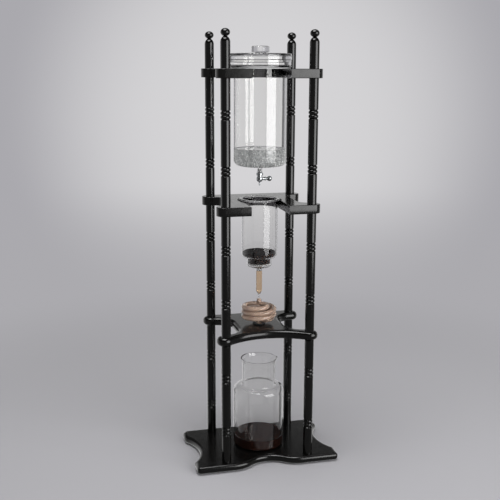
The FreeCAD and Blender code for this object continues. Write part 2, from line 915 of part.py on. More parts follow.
def brewed_coffee():
    """The brewed coffee in the carafe."""
    inner = carafe_diameter / 2 - carafe_wall - glass_gap
    floor = base_top + carafe_wall + glass_gap
    turn = carafe_foot_round - carafe_wall
    steps = [
        (inner - turn, floor),
        arc_step((inner - turn, floor + turn), turn, -90, 0),
        (inner, base_top + coffee_level),
        (0, base_top + coffee_level),
    ]
    return turned((0, floor), steps)


def spindles():
    """The three tiers of four spindles, by name."""
    tiers = {
        "lower": (base_top, lower_spindle_length),
        "middle": (lower_shelf_top, middle_spindle_length),
        "upper": (middle_shelf_top, upper_spindle_length),
    }
    pieces = {}
    for tier, (bottom, length) in tiers.items():
        copies = at_posts(spindle(bottom, length))
        for corner, copy in zip(CORNERS, copies):
            pieces[f"{tier}_spindle_{corner}"] = copy
        pieces[f"{tier}_spindle_inserts"] = tier_inserts(bottom, length)
    return pieces


def stand():
    """Every piece of the wooden stand, by name."""
    pieces = spindles()
    for corner, copy in zip(CORNERS, at_posts(finial())):
        pieces[f"finial_{corner}"] = copy
    pieces["finial_inserts"] = group(at_posts(insert(top_shelf_top)))
    pieces["base_board"] = base_board()
    pieces["base_feet"] = base_feet()
    pieces["base_screws"] = base_screws()
    pieces["lower_shelf"] = lower_shelf()
    pieces["middle_shelf"] = middle_shelf()
    pieces["top_shelf"] = slotted_shelf(top_shelf_bottom, top_hole_diameter)
    pieces["lower_shelf_studs"] = shelf_studs(lower_shelf_bottom)
    pieces["middle_shelf_studs"] = shelf_studs(middle_shelf_bottom)
    pieces["top_shelf_studs"] = shelf_studs(top_shelf_bottom)
    pieces["chamber_seat_ring"] = chamber_seat_ring()
    pieces["brew_pad"] = brew_pad()
    pieces["coil_bung"] = coil_bung()
    return pieces


def glassware():
    """The glass, the valve and what they hold, by name."""
    cubes = ice_cubes()
    return {
        "water_chamber": water_chamber(),
        "water_lid": water_lid(),
        "ice_cubes": group(cubes),
        "water": water(cubes),
        "valve_body": valve_body(),
        "valve_sleeve": valve_sleeve(),
        "valve_collar_nut": valve_collar_nut(),
        "valve_gland_nut": valve_gland_nut(),
        "valve_oring": valve_oring(),
        "valve_needle": valve_needle(),
        "valve_knob": valve_knob(),
        "brew_chamber": brew_chamber(),
        "filter_disc": filter_disc(),
        "filter_gasket": filter_gasket(),
        "coffee_grounds": coffee_grounds(),
        "tube_grommet": tube_grommet(),
        "drip_tube": drip_tube(),
        "drip_tube_coffee": drip_tube_coffee(),
        "drip_coil": drip_coil(),
        "coil_coffee": coil_coffee(),
        "carafe": carafe(),
        "brewed_coffee": brewed_coffee(),
    }


def main():
    os.makedirs("parts", exist_ok=True)
    pieces = {**stand(), **glassware()}
    for name, shape in pieces.items():
        shape.exportStep(f"parts/{name}.step")


main()
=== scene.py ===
"""The looks of a cold drip coffee tower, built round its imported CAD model, with a plain studio."""

import math

import bmesh
import bpy
from bpy.props import FloatProperty, FloatVectorProperty, IntProperty, PointerProperty
from mathutils import Euler, Matrix, Vector


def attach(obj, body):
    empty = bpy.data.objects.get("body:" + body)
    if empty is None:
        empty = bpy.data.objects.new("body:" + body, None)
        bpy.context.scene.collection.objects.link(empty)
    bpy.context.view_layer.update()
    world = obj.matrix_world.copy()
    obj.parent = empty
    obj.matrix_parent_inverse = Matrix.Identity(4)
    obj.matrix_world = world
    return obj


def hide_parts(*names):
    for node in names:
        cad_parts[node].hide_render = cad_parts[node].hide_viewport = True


bl_info = {
    "name": "Cold drip coffee tower",
    "version": (1, 0, 0),
    "blender": (4, 5, 0),
    "location": "3D View > Sidebar > Cold drip",
    "description": "Dresses the packed cold drip coffee tower and sets it in a plain studio",
    "category": "Object",
}

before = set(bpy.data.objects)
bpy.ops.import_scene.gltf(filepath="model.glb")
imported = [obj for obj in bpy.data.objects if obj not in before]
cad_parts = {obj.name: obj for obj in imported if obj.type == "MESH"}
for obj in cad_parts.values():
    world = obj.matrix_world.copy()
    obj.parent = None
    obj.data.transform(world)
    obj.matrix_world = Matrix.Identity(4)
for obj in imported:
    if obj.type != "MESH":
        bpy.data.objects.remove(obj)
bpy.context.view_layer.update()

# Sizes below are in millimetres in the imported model's frame, and a piece is scaled once it is drawn.
MM = 0.001
UP = Vector((0, 0, 1))
ORIGIN = Vector((0, 0, 0))

# How finely the pieces are drawn
ARC_STEP = 7.5
TURNED_SIDES = 96
POST_SIDES = 72
LONG_RUN = 2.5
RUN_SUPPORT = 0.4
WELD = 0.002
CREASE = 38.0
RIM_STEPS = 6
FLAT_INSET = 0.5

# The stand
POST_X = 85.0
POST_Y = 75.0
POST_RADIUS = 9.25
BEAD_OFFSET = 67.0
GROOVE_PITCH = 7.4
GROOVE_HALF_WIDTH = 1.9
BASE_BOTTOM = 2.0
BASE_TOP = 17.0
LOWER_SHELF_BOTTOM = 261.0
LOWER_SHELF_TOP = 278.5
MIDDLE_SHELF_BOTTOM = 517.5
MIDDLE_SHELF_TOP = 535.0
TOP_SHELF_BOTTOM = 773.0
TOP_SHELF_TOP = 790.5
LOBE_X = 86.5
LOBE_Y = 71.5
LOBE_RADIUS = 16.0
TOP_HOLE = 54.0
SLOT_HALF = 37.5

# The glass and what it holds
CHAMBER_RADIUS = 52.0
CHAMBER_WALL = 2.4
CHAMBER_BOTTOM = 603.0
NECK_END = 584.0
COLLAR_BOTTOM = 792.5
COLLAR_TOP = 807.0
COLLAR_RADIUS = 60.0
WATER_SURFACE = 636.4
VALVE_Z = 577.0
CUP_BOTTOM = 399.0
CUP_TOP = 415.0
GROUNDS_SURFACE = 429.4
TUBE_TIP = 334.7
COIL_INLET = 330.8
CARAFE_BOTTOM = 17.0
OVERLAP = 0.25

# The camera's place in metres, and the way from there to the middle of the backdrop's painted pool of
# light
CAMERA_PLACE = (-0.4183, -1.6162, 0.79)
PAINTED_POOL_WAY = (0.25, 0.966, -0.06)

# The camera's tilt from straight down, its turn and its roll, in degrees
CAMERA_TILT = 90 - 12.09
CAMERA_TURN = -13.87
CAMERA_ROLL = 0.17

# Softboxes: the place of each, the point it faces, its width and its height, in metres
SOFTBOXES = {
    "lower": ((1.41, -1.94, 0.15), (0, 0, 0.15), 1.9, 0.5),
    "upper": ((1.41, -1.94, 1.275), (0, 0, 1.275), 1.9, 1.75),
    "top": ((-0.3, -0.3, 2.4), (0, 0, 0.4), 1.2, 1.2),
}

# How bright the room is by the height of a direction: a bright wall, dark flags and a bright ceiling
ROOM_STOPS = ((0.0, 1.0), (0.18, 1.0), (0.31, 0.6), (0.42, 0.07), (0.72, 0.08), (0.85, 1.0))

# Layers of ice chips: the height of each, and its rings as a radius and a number of chips
ICE_LAYERS = (
    (611.5, ((0, 1), (12, 6), (24, 13), (36, 19))),
    (620.5, ((0, 1), (11, 6), (22, 13), (33, 19), (43, 25))),
    (629.8, ((0, 1), (11, 6), (22, 13), (33, 19), (43, 25))),
)

CORNERS = {
    "front_left": (-POST_X, -POST_Y),
    "front_right": (POST_X, -POST_Y),
    "back_left": (-POST_X, POST_Y),
    "back_right": (POST_X, POST_Y),
}


class Pen:
    """Draws an outline from point to point in a new bmesh, as a profile or flat in plan."""

    def __init__(self, start, flat=False):
        self.mesh = bmesh.new()
        self.flat = flat
        self.axis = UP if flat else Vector((0, -1, 0))
        self.tip = self.mesh.verts.new(self.place(start))

    def place(self, point):
        """A point of the outline in space: radius and height for a profile, or X and Y in plan."""
        if self.flat:
            return Vector((point[0], point[1], 0))
        return Vector((point[0], 0, point[1]))

    def step(self, move):
        """Extrudes the tip by one straight move."""
        made = bmesh.ops.extrude_vert_indiv(self.mesh, verts=[self.tip])
        self.tip = made["verts"][0]
        bmesh.ops.translate(self.mesh, vec=move, verts=[self.tip])

    def run(self, target):
        """A straight run to a place; on a profile a long one gets a support point near each end."""
        whole = target - self.tip.co
        if whole.length < WELD:
            return
        if whole.length > LONG_RUN and not self.flat:
            end = whole.normalized() * RUN_SUPPORT
            self.step(end)
            self.step(whole - 2 * end)
            self.step(end)
        else:
            self.step(whole)

    def swing(self, centre, angle, count=0):
        """An arc round a centre, by an angle in radians."""
        steps = count or max(2, round(math.degrees(abs(angle)) / ARC_STEP))
        made = bmesh.ops.spin(self.mesh, geom=[self.tip], cent=centre, axis=self.axis,
                              angle=angle, steps=steps)
        self.tip = [part for part in made["geom_last"] if isinstance(part, bmesh.types.BMVert)][0]

    def arc(self, centre, degrees, count=0):
        """An arc round a centre given as a point of the outline."""
        self.swing(self.place(centre), math.radians(degrees), count)

    def bulge(self, point, height, count=0):
        """An arc to a point that stands out to the right of the way there by a height."""
        chord = self.place(point) - self.tip.co
        half = chord.length / 2
        radius = (half * half + height * height) / (2 * abs(height))
        sign = math.copysign(1, height)
        left = self.axis.cross(chord).normalized()
        centre = self.tip.co + chord / 2 + left * (radius - abs(height)) * sign
        self.swing(centre, 2 * math.asin(min(1, half / radius)) * sign, count)

    def draw(self, *points):
        """Runs through points; a third number rounds the corner there by that radius."""
        for index, point in enumerate(points):
            corner = self.place(point)
            if len(point) == 2:
                self.run(corner)
                continue
            into = (corner - self.tip.co).normalized()
            away = (self.place(points[index + 1]) - corner).normalized()
            turn = into.angle(away)
            sign = math.copysign(1, into.cross(away).dot(self.axis))
            self.run(corner - into * point[2] * math.tan(turn / 2))
            centre = self.tip.co + self.axis.cross(into) * point[2] * sign
            self.swing(centre, turn * sign)

    def turned(self, sides=TURNED_SIDES):
        """Spins the profile into a round piece and closes its seam and poles."""
        bmesh.ops.spin(self.mesh, geom=self.mesh.verts[:] + self.mesh.edges[:], cent=ORIGIN,
                       axis=UP, angle=2 * math.pi, steps=sides, use_merge=True)
        bmesh.ops.remove_doubles(self.mesh, verts=self.mesh.verts, dist=WELD)
        return self.mesh

    def board(self, bottom, thickness, rim, rim_steps=RIM_STEPS, inset=FLAT_INSET):
        """Mirrors the right half of a plan and makes a board: rounded edges, then an inset rim."""
        mesh = self.mesh
        bmesh.ops.mirror(mesh, geom=mesh.verts[:] + mesh.edges[:], axis="X", merge_dist=WELD)
        bmesh.ops.remove_doubles(mesh, verts=mesh.verts, dist=WELD)
        bmesh.ops.edgeloop_fill(mesh, edges=mesh.edges[:])
        bmesh.ops.translate(mesh, vec=(0, 0, bottom), verts=mesh.verts)
        made = bmesh.ops.extrude_face_region(mesh, geom=mesh.faces[:], use_keep_orig=True)
        raised = [part for part in made["geom"] if isinstance(part, bmesh.types.BMVert)]
        bmesh.ops.translate(mesh, vec=(0, 0, thickness), verts=raised)
        bmesh.ops.recalc_face_normals(mesh, faces=mesh.faces)
        level = [edge for edge in mesh.edges if abs(edge.verts[0].co.z - edge.verts[1].co.z) < WELD]
        bmesh.ops.bevel(mesh, geom=level, offset=rim, offset_type="OFFSET", affect="EDGES",
                        segments=rim_steps, profile=0.5, material=-1, clamp_overlap=False)
        flats = [face for face in mesh.faces if abs(face.normal.z) > 0.999 and len(face.verts) > 8]
        if inset:
            bmesh.ops.inset_region(mesh, faces=flats, thickness=inset, use_even_offset=False)
        return mesh


def swept(line, radius, sides):
    """A round tube along a line: its section is extruded from point to point and turned with it."""
    mesh = bmesh.new()
    heading = (line[1] - line[0]).normalized()
    start = Matrix.Translation(line[0]) @ heading.to_track_quat("Z", "Y").to_matrix().to_4x4()
    made = bmesh.ops.create_circle(mesh, cap_ends=False, radius=radius, segments=sides, matrix=start)
    edges = mesh.edges[:]
    for before, here, after in zip(line, line[1:], line[2:] + [line[-1] * 2 - line[-2]]):
        grown = bmesh.ops.extrude_edge_only(mesh, edges=edges)["geom"]
        verts = [part for part in grown if isinstance(part, bmesh.types.BMVert)]
        edges = [part for part in grown if isinstance(part, bmesh.types.BMEdge) and part.is_boundary]
        bmesh.ops.translate(mesh, vec=here - before, verts=verts)
        onward = (after - here).normalized()
        onward = ((here - before).normalized() + onward).normalized()
        turn = heading.rotation_difference(onward).to_matrix()
        bmesh.ops.rotate(mesh, cent=here, matrix=turn, verts=verts)
        heading = onward
    return mesh


def joined(meshes):
    """One bmesh from several."""
    whole = bmesh.new()
    for mesh in meshes:
        part = bpy.data.meshes.new("part")
        mesh.to_mesh(part)
        mesh.free()
        whole.from_mesh(part)
        bpy.data.meshes.remove(part)
    return whole


def placed(mesh, name, material, body, stands_for, crease=CREASE):
    """Finishes a piece: closes and scales it, shades it, and puts it in the place of its CAD nodes."""
    bmesh.ops.remove_doubles(mesh, verts=mesh.verts, dist=WELD)
    bmesh.ops.recalc_face_normals(mesh, faces=mesh.faces)
    bmesh.ops.scale(mesh, vec=(MM, MM, MM), verts=mesh.verts)
    for face in mesh.faces:
        face.smooth = True
    for edge in mesh.edges:
        if len(edge.link_faces) == 2:
            edge.smooth = edge.calc_face_angle() < math.radians(crease)
    data = bpy.data.meshes.new(name)
    mesh.to_mesh(data)
    mesh.free()
    data.materials.append(material)
    piece = bpy.data.objects.new(name, data)
    bpy.context.scene.collection.objects.link(piece)
    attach(piece, body)
    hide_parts(*stands_for)
    return piece


def linear(colour):
    """An sRGB hex colour as the linear colour that a shader takes."""
    parts = [int(colour[at:at + 2], 16) / 255 for at in (1, 3, 5)]
    light = [part / 12.92 if part <= 0.04045 else ((part + 0.055) / 1.055) ** 2.4 for part in parts]
    return (*light, 1.0)


def add_node(tree, kind, sockets=None, **settings):
    """Adds a node with its settings; a socket takes a value or another node's output."""
    made = tree.nodes.new(kind)
    for name, value in settings.items():
        setattr(made, name, value)
    for key, value in (sockets or {}).items():
        if isinstance(value, bpy.types.NodeSocket):
            tree.links.new(value, made.inputs[key])
        else:
            made.inputs[key].default_value = value
    return made


def shared(make, *choices):
    """A material that is made once and then shared by every piece that has it."""
    name = "_".join([make.__name__, *choices])
    if name not in bpy.data.materials:
        material = bpy.data.materials.new(name)
        material.use_nodes = True
        tree = material.node_tree
        tree.nodes.clear()
        place = add_node(tree, "ShaderNodeTexCoord").outputs["Object"]
        shader = make(tree, place, *choices)
        add_node(tree, "ShaderNodeOutputMaterial", {"Surface": shader.outputs[0]})
    return bpy.data.materials[name]


def per_mm(size):
    """The scale of a pattern whose grain is a size in millimetres."""
    return 1 / (size * MM)


def black_lacquered_hardwood(tree, place, grain):
    """Turned or routed hardwood, stained black and sprayed with lacquer that is rubbed to a gloss."""
    # The eye sees a deep black with one narrow bright reflection on what was polished on the lathe,
    # and a softer one on the boards. The grain shows only as faint long ridges, 1.6 mm apart and
    # some 40 mm long, where the film has sunk into it.
    stand = bpy.context.scene.cold_drip_stand
    across = per_mm(1.6)
    along = per_mm(40)
    scale = (across, across, along) if grain == "upright" else (along, across, across)
    turned = add_node(tree, "ShaderNodeMapping", {"Vector": place, "Scale": scale})
    ridges = add_node(tree, "ShaderNodeTexNoise", {
        "Vector": turned.outputs[0], "Scale": 1.0, "Detail": 3.0, "Roughness": 0.55})
    film = add_node(tree, "ShaderNodeTexNoise", {
        "Vector": place, "Scale": per_mm(7), "Detail": 2.0, "Roughness": 0.5})
    colour = add_node(tree, "ShaderNodeMix", {
        "Factor": ridges.outputs[0], 6: (*stand.lacquer_colour, 1), 7: (*stand.grain_colour, 1)},
        data_type="RGBA")
    gloss = stand.lacquer_roughness if grain == "upright" else stand.board_roughness
    rough = add_node(tree, "ShaderNodeMapRange", {
        "Value": film.outputs[0], "From Min": 0.3, "From Max": 0.7,
        "To Min": gloss - 0.03, "To Max": gloss + 0.03})
    sunk = add_node(tree, "ShaderNodeBump", {
        "Height": ridges.outputs[0], "Strength": 1.0, "Distance": 0.0015 * MM})
    peel = add_node(tree, "ShaderNodeBump", {
        "Height": film.outputs[0], "Strength": 1.0, "Distance": 0.004 * MM,
        "Normal": sunk.outputs[0]})
    return add_node(tree, "ShaderNodeBsdfPrincipled", {
        "Base Color": colour.outputs[2], "Roughness": rough.outputs[0], "IOR": 1.5,
        "Normal": peel.outputs[0]})


def borosilicate_glass(tree, place):
    """Blown borosilicate glass with fire-polished rims."""
    # Clear and almost colourless. The blowing leaves long waves 30 mm apart that bend a reflection
    # a little, and handling leaves the faintest haze.
    glass = bpy.context.scene.cold_drip_glass
    waves = add_node(tree, "ShaderNodeTexNoise", {
        "Vector": place, "Scale": per_mm(30), "Detail": 1.0, "Roughness": 0.4})
    haze = add_node(tree, "ShaderNodeTexNoise", {
        "Vector": place, "Scale": per_mm(12), "Detail": 3.0, "Roughness": 0.6})
    rough = add_node(tree, "ShaderNodeMapRange", {
        "Value": haze.outputs[0], "From Min": 0.45, "From Max": 0.75, "To Min": 0.0, "To Max": 0.012})
    bent = add_node(tree, "ShaderNodeBump", {
        "Height": waves.outputs[0], "Strength": 1.0, "Distance": glass.wave_depth})
    return add_node(tree, "ShaderNodeBsdfPrincipled", {
        "Base Color": (*glass.tint, 1), "Roughness": rough.outputs[0], "IOR": 1.47,
        "Transmission Weight": 1.0, "Normal": bent.outputs[0]})


def still_water(tree, place):
    """Tap water standing in the chamber."""
    # Clear, with a slow ripple 14 mm long from the melting ice.
    ripple = add_node(tree, "ShaderNodeTexNoise", {
        "Vector": place, "Scale": per_mm(14), "Detail": 1.0, "Roughness": 0.4})
    bent = add_node(tree, "ShaderNodeBump", {
        "Height": ripple.outputs[0], "Strength": 1.0, "Distance": 0.3 * MM})
    return add_node(tree, "ShaderNodeBsdfPrincipled", {
        "Base Color": linear("#FAFBFB"), "Roughness": 0.0, "IOR": 1.333,
        "Transmission Weight": 1.0, "Normal": bent.outputs[0]})


def melting_ice(tree, place):
    """Crushed freezer ice, melting."""
    # White with the air that froze in, in grains 3 mm across, under a wet skin with dimples of 4 mm.
    # The faint glow is painted light: an emission in the ice's own colour that stands in for the light
    # that wanders through the pile and comes out again.
    dimples = add_node(tree, "ShaderNodeTexNoise", {
        "Vector": place, "Scale": per_mm(4), "Detail": 2.0, "Roughness": 0.5})
    grains = add_node(tree, "ShaderNodeTexVoronoi", {
        "Vector": place, "Scale": per_mm(3), "Randomness": 1.0}, feature="DISTANCE_TO_EDGE")
    clear = add_node(tree, "ShaderNodeMapRange", {
        "Value": grains.outputs["Distance"], "From Min": 0.0, "From Max": 0.25})
    colour = add_node(tree, "ShaderNodeMix", {
        "Factor": clear.outputs[0], 6: linear("#A3A6A7"), 7: linear("#FEFEFD")}, data_type="RGBA")
    bent = add_node(tree, "ShaderNodeBump", {
        "Height": dimples.outputs[0], "Strength": 1.0, "Distance": 1.4 * MM})
    # The emission below is a painted glow; the ice is no lamp.
    return add_node(tree, "ShaderNodeBsdfPrincipled", {
        "Base Color": colour.outputs[2], "Roughness": 0.12, "IOR": 1.31,
        "Emission Color": colour.outputs[2], "Emission Strength": 0.18,
        "Normal": bent.outputs[0]})


def coffee_liquid(tree, place, strength):
    """Cold brewed coffee: strong in the carafe, thin in the drip tube, pale where it fills the coil."""
    # Strong coffee lets no light through and shows a dark red brown with a glassy skin. In a thin
    # column it is clear amber, and in the coil's narrow bore it looks like weak milky tea.
    contents = bpy.context.scene.cold_drip_contents
    looks = {
        "strong": (contents.strong_colour, contents.strong_edge_colour, 0.0),
        "thin": (contents.thin_colour, contents.thin_edge_colour, 1.0),
        "pale": (contents.pale_colour, contents.pale_edge_colour, 0.1),
    }
    colour, edge, clear = looks[strength]
    swirl = add_node(tree, "ShaderNodeTexNoise", {
        "Vector": place, "Scale": per_mm(9), "Detail": 2.0, "Roughness": 0.5, "Distortion": 0.6})
    mixed = add_node(tree, "ShaderNodeMix", {
        "Factor": swirl.outputs[0], 6: (*colour, 1), 7: (*edge, 1)}, data_type="RGBA")
    bent = add_node(tree, "ShaderNodeBump", {
        "Height": swirl.outputs[0], "Strength": 1.0, "Distance": 0.05 * MM})
    return add_node(tree, "ShaderNodeBsdfPrincipled", {
        "Base Color": mixed.outputs[2], "Roughness": 0.05, "IOR": 1.34,
        "Transmission Weight": clear, "Normal": bent.outputs[0]})


def wet_coffee_grounds(tree, place):
    """Medium ground coffee, soaked."""
    # Grains about 1.1 mm across in several browns, each with a wet glint. They are drawn at 1.8 mm,
    # because at their own size they are finer than a pixel of the picture.
    grains = add_node(tree, "ShaderNodeTexVoronoi", {
        "Vector": place, "Scale": per_mm(1.8), "Randomness": 1.0})
    clumps = add_node(tree, "ShaderNodeTexNoise", {
        "Vector": place, "Scale": per_mm(9), "Detail": 3.0, "Roughness": 0.6})
    tone = add_node(tree, "ShaderNodeSeparateColor", {"Color": grains.outputs["Color"]})
    mixed = add_node(tree, "ShaderNodeMath", {
        0: tone.outputs[0], 1: clumps.outputs[0]}, operation="MULTIPLY")
    contents = bpy.context.scene.cold_drip_contents
    colour = add_node(tree, "ShaderNodeMix", {
        "Factor": mixed.outputs[0], 6: (*contents.grounds_colour, 1),
        7: (*contents.grounds_light_colour, 1)}, data_type="RGBA")
    bumpy = add_node(tree, "ShaderNodeBump", {
        "Height": grains.outputs["Distance"], "Strength": 1.0, "Distance": 0.25 * MM})
    rough = add_node(tree, "ShaderNodeMapRange", {
        "Value": tone.outputs[1], "To Min": 0.35, "To Max": 0.7})
    return add_node(tree, "ShaderNodeBsdfPrincipled", {
        "Base Color": colour.outputs[2], "Roughness": rough.outputs[0], "IOR": 1.33,
        "Specular IOR Level": 0.1, "Normal": bumpy.outputs[0]})


def polished_chrome(tree, place):
    """Turned brass, polished and chromium plated."""
    # A cool mirror with a faint greyness of handling in patches of 4 mm.
    marks = add_node(tree, "ShaderNodeTexNoise", {
        "Vector": place, "Scale": per_mm(4), "Detail": 4.0, "Roughness": 0.6})
    rough = add_node(tree, "ShaderNodeMapRange", {
        "Value": marks.outputs[0], "From Min": 0.3, "From Max": 0.7, "To Min": 0.05, "To Max": 0.14})
    return add_node(tree, "ShaderNodeBsdfPrincipled", {
        "Base Color": linear("#C4C7CA"), "Metallic": 1.0, "Roughness": rough.outputs[0]})


def plated_steel(tree, place):
    """Bright zinc plated steel screws and studs."""
    # A bluish grey with the mottle of the plating bath, in patches of 3 mm.
    mottle = add_node(tree, "ShaderNodeTexNoise", {
        "Vector": place, "Scale": per_mm(3), "Detail": 3.0, "Roughness": 0.6})
    colour = add_node(tree, "ShaderNodeMix", {
        "Factor": mottle.outputs[0], 6: linear("#A3A8AD"), 7: linear("#BFC2C3")}, data_type="RGBA")
    rough = add_node(tree, "ShaderNodeMapRange", {
        "Value": mottle.outputs[0], "To Min": 0.25, "To Max": 0.42})
    return add_node(tree, "ShaderNodeBsdfPrincipled", {
        "Base Color": colour.outputs[2], "Metallic": 1.0, "Roughness": rough.outputs[0]})


def turned_brass(tree, place):
    """Free-cutting brass, turned on a lathe and left bare."""
    # Yellow metal with the tool's rings, 0.6 mm apart, and a duller film where it was handled.
    rings = add_node(tree, "ShaderNodeTexWave", {
        "Vector": place, "Scale": per_mm(0.6) / (2 * math.pi), "Distortion": 0.5},
        bands_direction="Z")
    film = add_node(tree, "ShaderNodeTexNoise", {"Vector": place, "Scale": per_mm(5), "Detail": 3.0})
    colour = add_node(tree, "ShaderNodeMix", {
        "Factor": film.outputs[0], 6: linear("#B8924A"), 7: linear("#CDA860")}, data_type="RGBA")
    tooled = add_node(tree, "ShaderNodeBump", {
        "Height": rings.outputs["Fac"], "Strength": 1.0, "Distance": 0.01 * MM})
    return add_node(tree, "ShaderNodeBsdfPrincipled", {
        "Base Color": colour.outputs[2], "Metallic": 1.0, "Roughness": 0.3,
        "Normal": tooled.outputs[0]})


def moulded_rubber(tree, place):
    """Black nitrile rubber, moulded in an eroded tool."""
    # Matt near-black with a fine even texture of 0.8 mm, and greyer where dust has settled.
    skin = add_node(tree, "ShaderNodeTexNoise", {"Vector": place, "Scale": per_mm(0.8), "Detail": 2.0})
    dust = add_node(tree, "ShaderNodeTexNoise", {"Vector": place, "Scale": per_mm(14), "Detail": 3.0})
    colour = add_node(tree, "ShaderNodeMix", {
        "Factor": dust.outputs[0], 6: linear("#0C0C0D"), 7: linear("#1A1A1B")}, data_type="RGBA")
    grained = add_node(tree, "ShaderNodeBump", {
        "Height": skin.outputs[0], "Strength": 1.0, "Distance": 0.03 * MM})
    return add_node(tree, "ShaderNodeBsdfPrincipled", {
        "Base Color": colour.outputs[2], "Roughness": 0.55, "Normal": grained.outputs[0]})


def clear_silicone(tree, place):
    """Platinum-cured silicone rubber, moulded without pigment."""
    # Milky and see-through at once, with a satin skin and cloudiness 6 mm across.
    cloud = add_node(tree, "ShaderNodeTexNoise", {"Vector": place, "Scale": per_mm(6), "Detail": 2.0})
    colour = add_node(tree, "ShaderNodeMix", {
        "Factor": cloud.outputs[0], 6: linear("#DADDDD"), 7: linear("#EEF0F0")}, data_type="RGBA")
    rough = add_node(tree, "ShaderNodeMapRange", {
        "Value": cloud.outputs[0], "To Min": 0.3, "To Max": 0.45})
    return add_node(tree, "ShaderNodeBsdfPrincipled", {
        "Base Color": colour.outputs[2], "Roughness": rough.outputs[0], "IOR": 1.41,
        "Transmission Weight": 0.7})


def fired_ceramic(tree, place):
    """Porous fired ceramic filter, unglazed."""
    # Chalky off-white with pores of 0.7 mm that hold a trace of coffee.
    pores = add_node(tree, "ShaderNodeTexVoronoi", {"Vector": place, "Scale": per_mm(0.7)})
    colour = add_node(tree, "ShaderNodeMix", {
        "Factor": pores.outputs["Distance"], 6: linear("#B9A88F"), 7: linear("#E6E0D2")},
        data_type="RGBA")
    pitted = add_node(tree, "ShaderNodeBump", {
        "Height": pores.outputs["Distance"], "Strength": 1.0, "Distance": 0.1 * MM})
    return add_node(tree, "ShaderNodeBsdfPrincipled", {
        "Base Color": colour.outputs[2], "Roughness": 0.8, "Normal": pitted.outputs[0]})


def length_setting(name, description, default, low, high, precision=4):
    """A setting that is a length, written here in millimetres."""
    return FloatProperty(name=name, description=description, default=default * MM,
                         min=low * MM, max=high * MM, unit="LENGTH", precision=precision)


def colour_setting(name, description, colour):
    """A setting that is a colour, written here in sRGB hex."""
    return FloatVectorProperty(name=name, description=description, default=linear(colour)[:3],
                               subtype="COLOR", min=0, max=1)


class ColdDripStand(bpy.types.PropertyGroup):
    """Sizes and colours of the wooden stand."""

    groove_depth: length_setting(
        "Groove depth", "Depth of the turned grooves between a post's beads", 2.0, 0.5, 4)
    bead_proud: length_setting(
        "Bead height", "How far a bead stands out from its post", 0.25, 0, 2, 5)
    base_edge_round: length_setting(
        "Base edge", "Radius of the base board's rounded edges", 6.2, 1, 6.5)
    lower_edge_round: length_setting(
        "Lower shelf edge", "Radius of the lower shelf's rounded edges", 7.8, 1, 8.4)
    shelf_edge_break: length_setting(
        "Shelf edge", "Radius of the middle and top shelves' eased edges", 1.2, 0.3, 3)
    lacquer_colour: colour_setting(
        "Lacquer", "Colour of the black lacquer", "#060606")
    grain_colour: colour_setting(
        "Grain", "Colour of the lacquer where the wood's grain shows through", "#0C0B0A")
    lacquer_roughness: FloatProperty(
        name="Turned gloss", description="How soft the reflections are on the turned parts",
        default=0.14, min=0.05, max=0.9, subtype="FACTOR")
    board_roughness: FloatProperty(
        name="Board gloss", description="How soft the reflections are on the boards",
        default=0.19, min=0.05, max=0.9, subtype="FACTOR")


class ColdDripGlass(bpy.types.PropertyGroup):
    """Looks of the glass."""

    tint: colour_setting(
        "Tint", "Colour that the glass gives to light passing through", "#FEFEFD")
    wave_depth: length_setting(
        "Wave depth", "Depth of the waves that blowing leaves in the glass", 0.015, 0, 0.5, 6)
    spout_reach: length_setting(
        "Spout", "How far the carafe's lip is drawn out to pour", 3.0, 0, 8)


class ColdDripContents(bpy.types.PropertyGroup):
    """Ice, water, grounds and coffee."""

    ice_size: length_setting(
        "Ice", "Size of a chip of ice", 9.0, 5, 16)
    ice_melt: length_setting(
        "Ice melt", "How far the corners of the ice have melted", 1.2, 0.5, 4)
    ice_seed: IntProperty(
        name="Ice shape", description="Seed of the irregular shape of the ice", default=3, min=0)
    meniscus: length_setting(
        "Meniscus", "How far a liquid creeps up its glass", 1.4, 0.2, 3)
    grounds_colour: colour_setting(
        "Grounds", "Darker colour of the wet grounds", "#0B0503")
    grounds_light_colour: colour_setting(
        "Grounds, light", "Lighter colour of the wet grounds", "#3A1D10")
    strong_colour: colour_setting(
        "Strong coffee", "Colour of the coffee in the carafe", "#2A1712")
    strong_edge_colour: colour_setting(
        "Strong coffee, swirl", "Second colour of the coffee in the carafe", "#361F17")
    thin_colour: colour_setting(
        "Thin coffee", "Colour of the coffee in the drip tube", "#F7DDBE")
    thin_edge_colour: colour_setting(
        "Thin coffee, swirl", "Second colour of the coffee in the drip tube", "#F1CFA8")
    pale_colour: colour_setting(
        "Pale coffee", "Colour of the coffee in the coil", "#FFE4D0")
    pale_edge_colour: colour_setting(
        "Pale coffee, swirl", "Second colour of the coffee in the coil", "#F8D2B8")


class ColdDripStage(bpy.types.PropertyGroup):
    """The plain studio round the tower."""

    backdrop: colour_setting(
        "Backdrop", "Colour of the space behind the tower", "#AAA9AE")
    # Colour of a painted pool of light on the backdrop round the tower; no lamp lights it.
    backdrop_centre: colour_setting(
        "Backdrop, lit", "Colour of the backdrop where a lamp washes it", "#D4D3D5")
    floor: colour_setting(
        "Floor", "Colour of the floor round the tower", "#ABAAAE")
    ambient: FloatProperty(
        name="Ambient", description="Strength of the even light from all sides",
        default=0.3, min=0, max=5)
    front_glow: FloatProperty(
        name="Front glow", description="How much of the room's brightness a mirror facing it sees",
        default=0.2, min=0, max=1)
    upper_power: FloatProperty(
        name="Upper light", description="Power of the key light's upper part, which also lights the "
        "inside of the glass",
        default=48.0, min=0, max=500, unit="POWER")
    lens: FloatProperty(
        name="Lens", description="Focal length of the camera",
        default=60.91, min=20, max=200, unit="CAMERA")
    lower_power: FloatProperty(
        name="Lower light", description="Power of the key light's lower part",
        default=13.7, min=0, max=500, unit="POWER")
    top_power: FloatProperty(
        name="Top light", description="Power of the overhead softbox",
        default=36.0, min=0, max=500, unit="POWER")


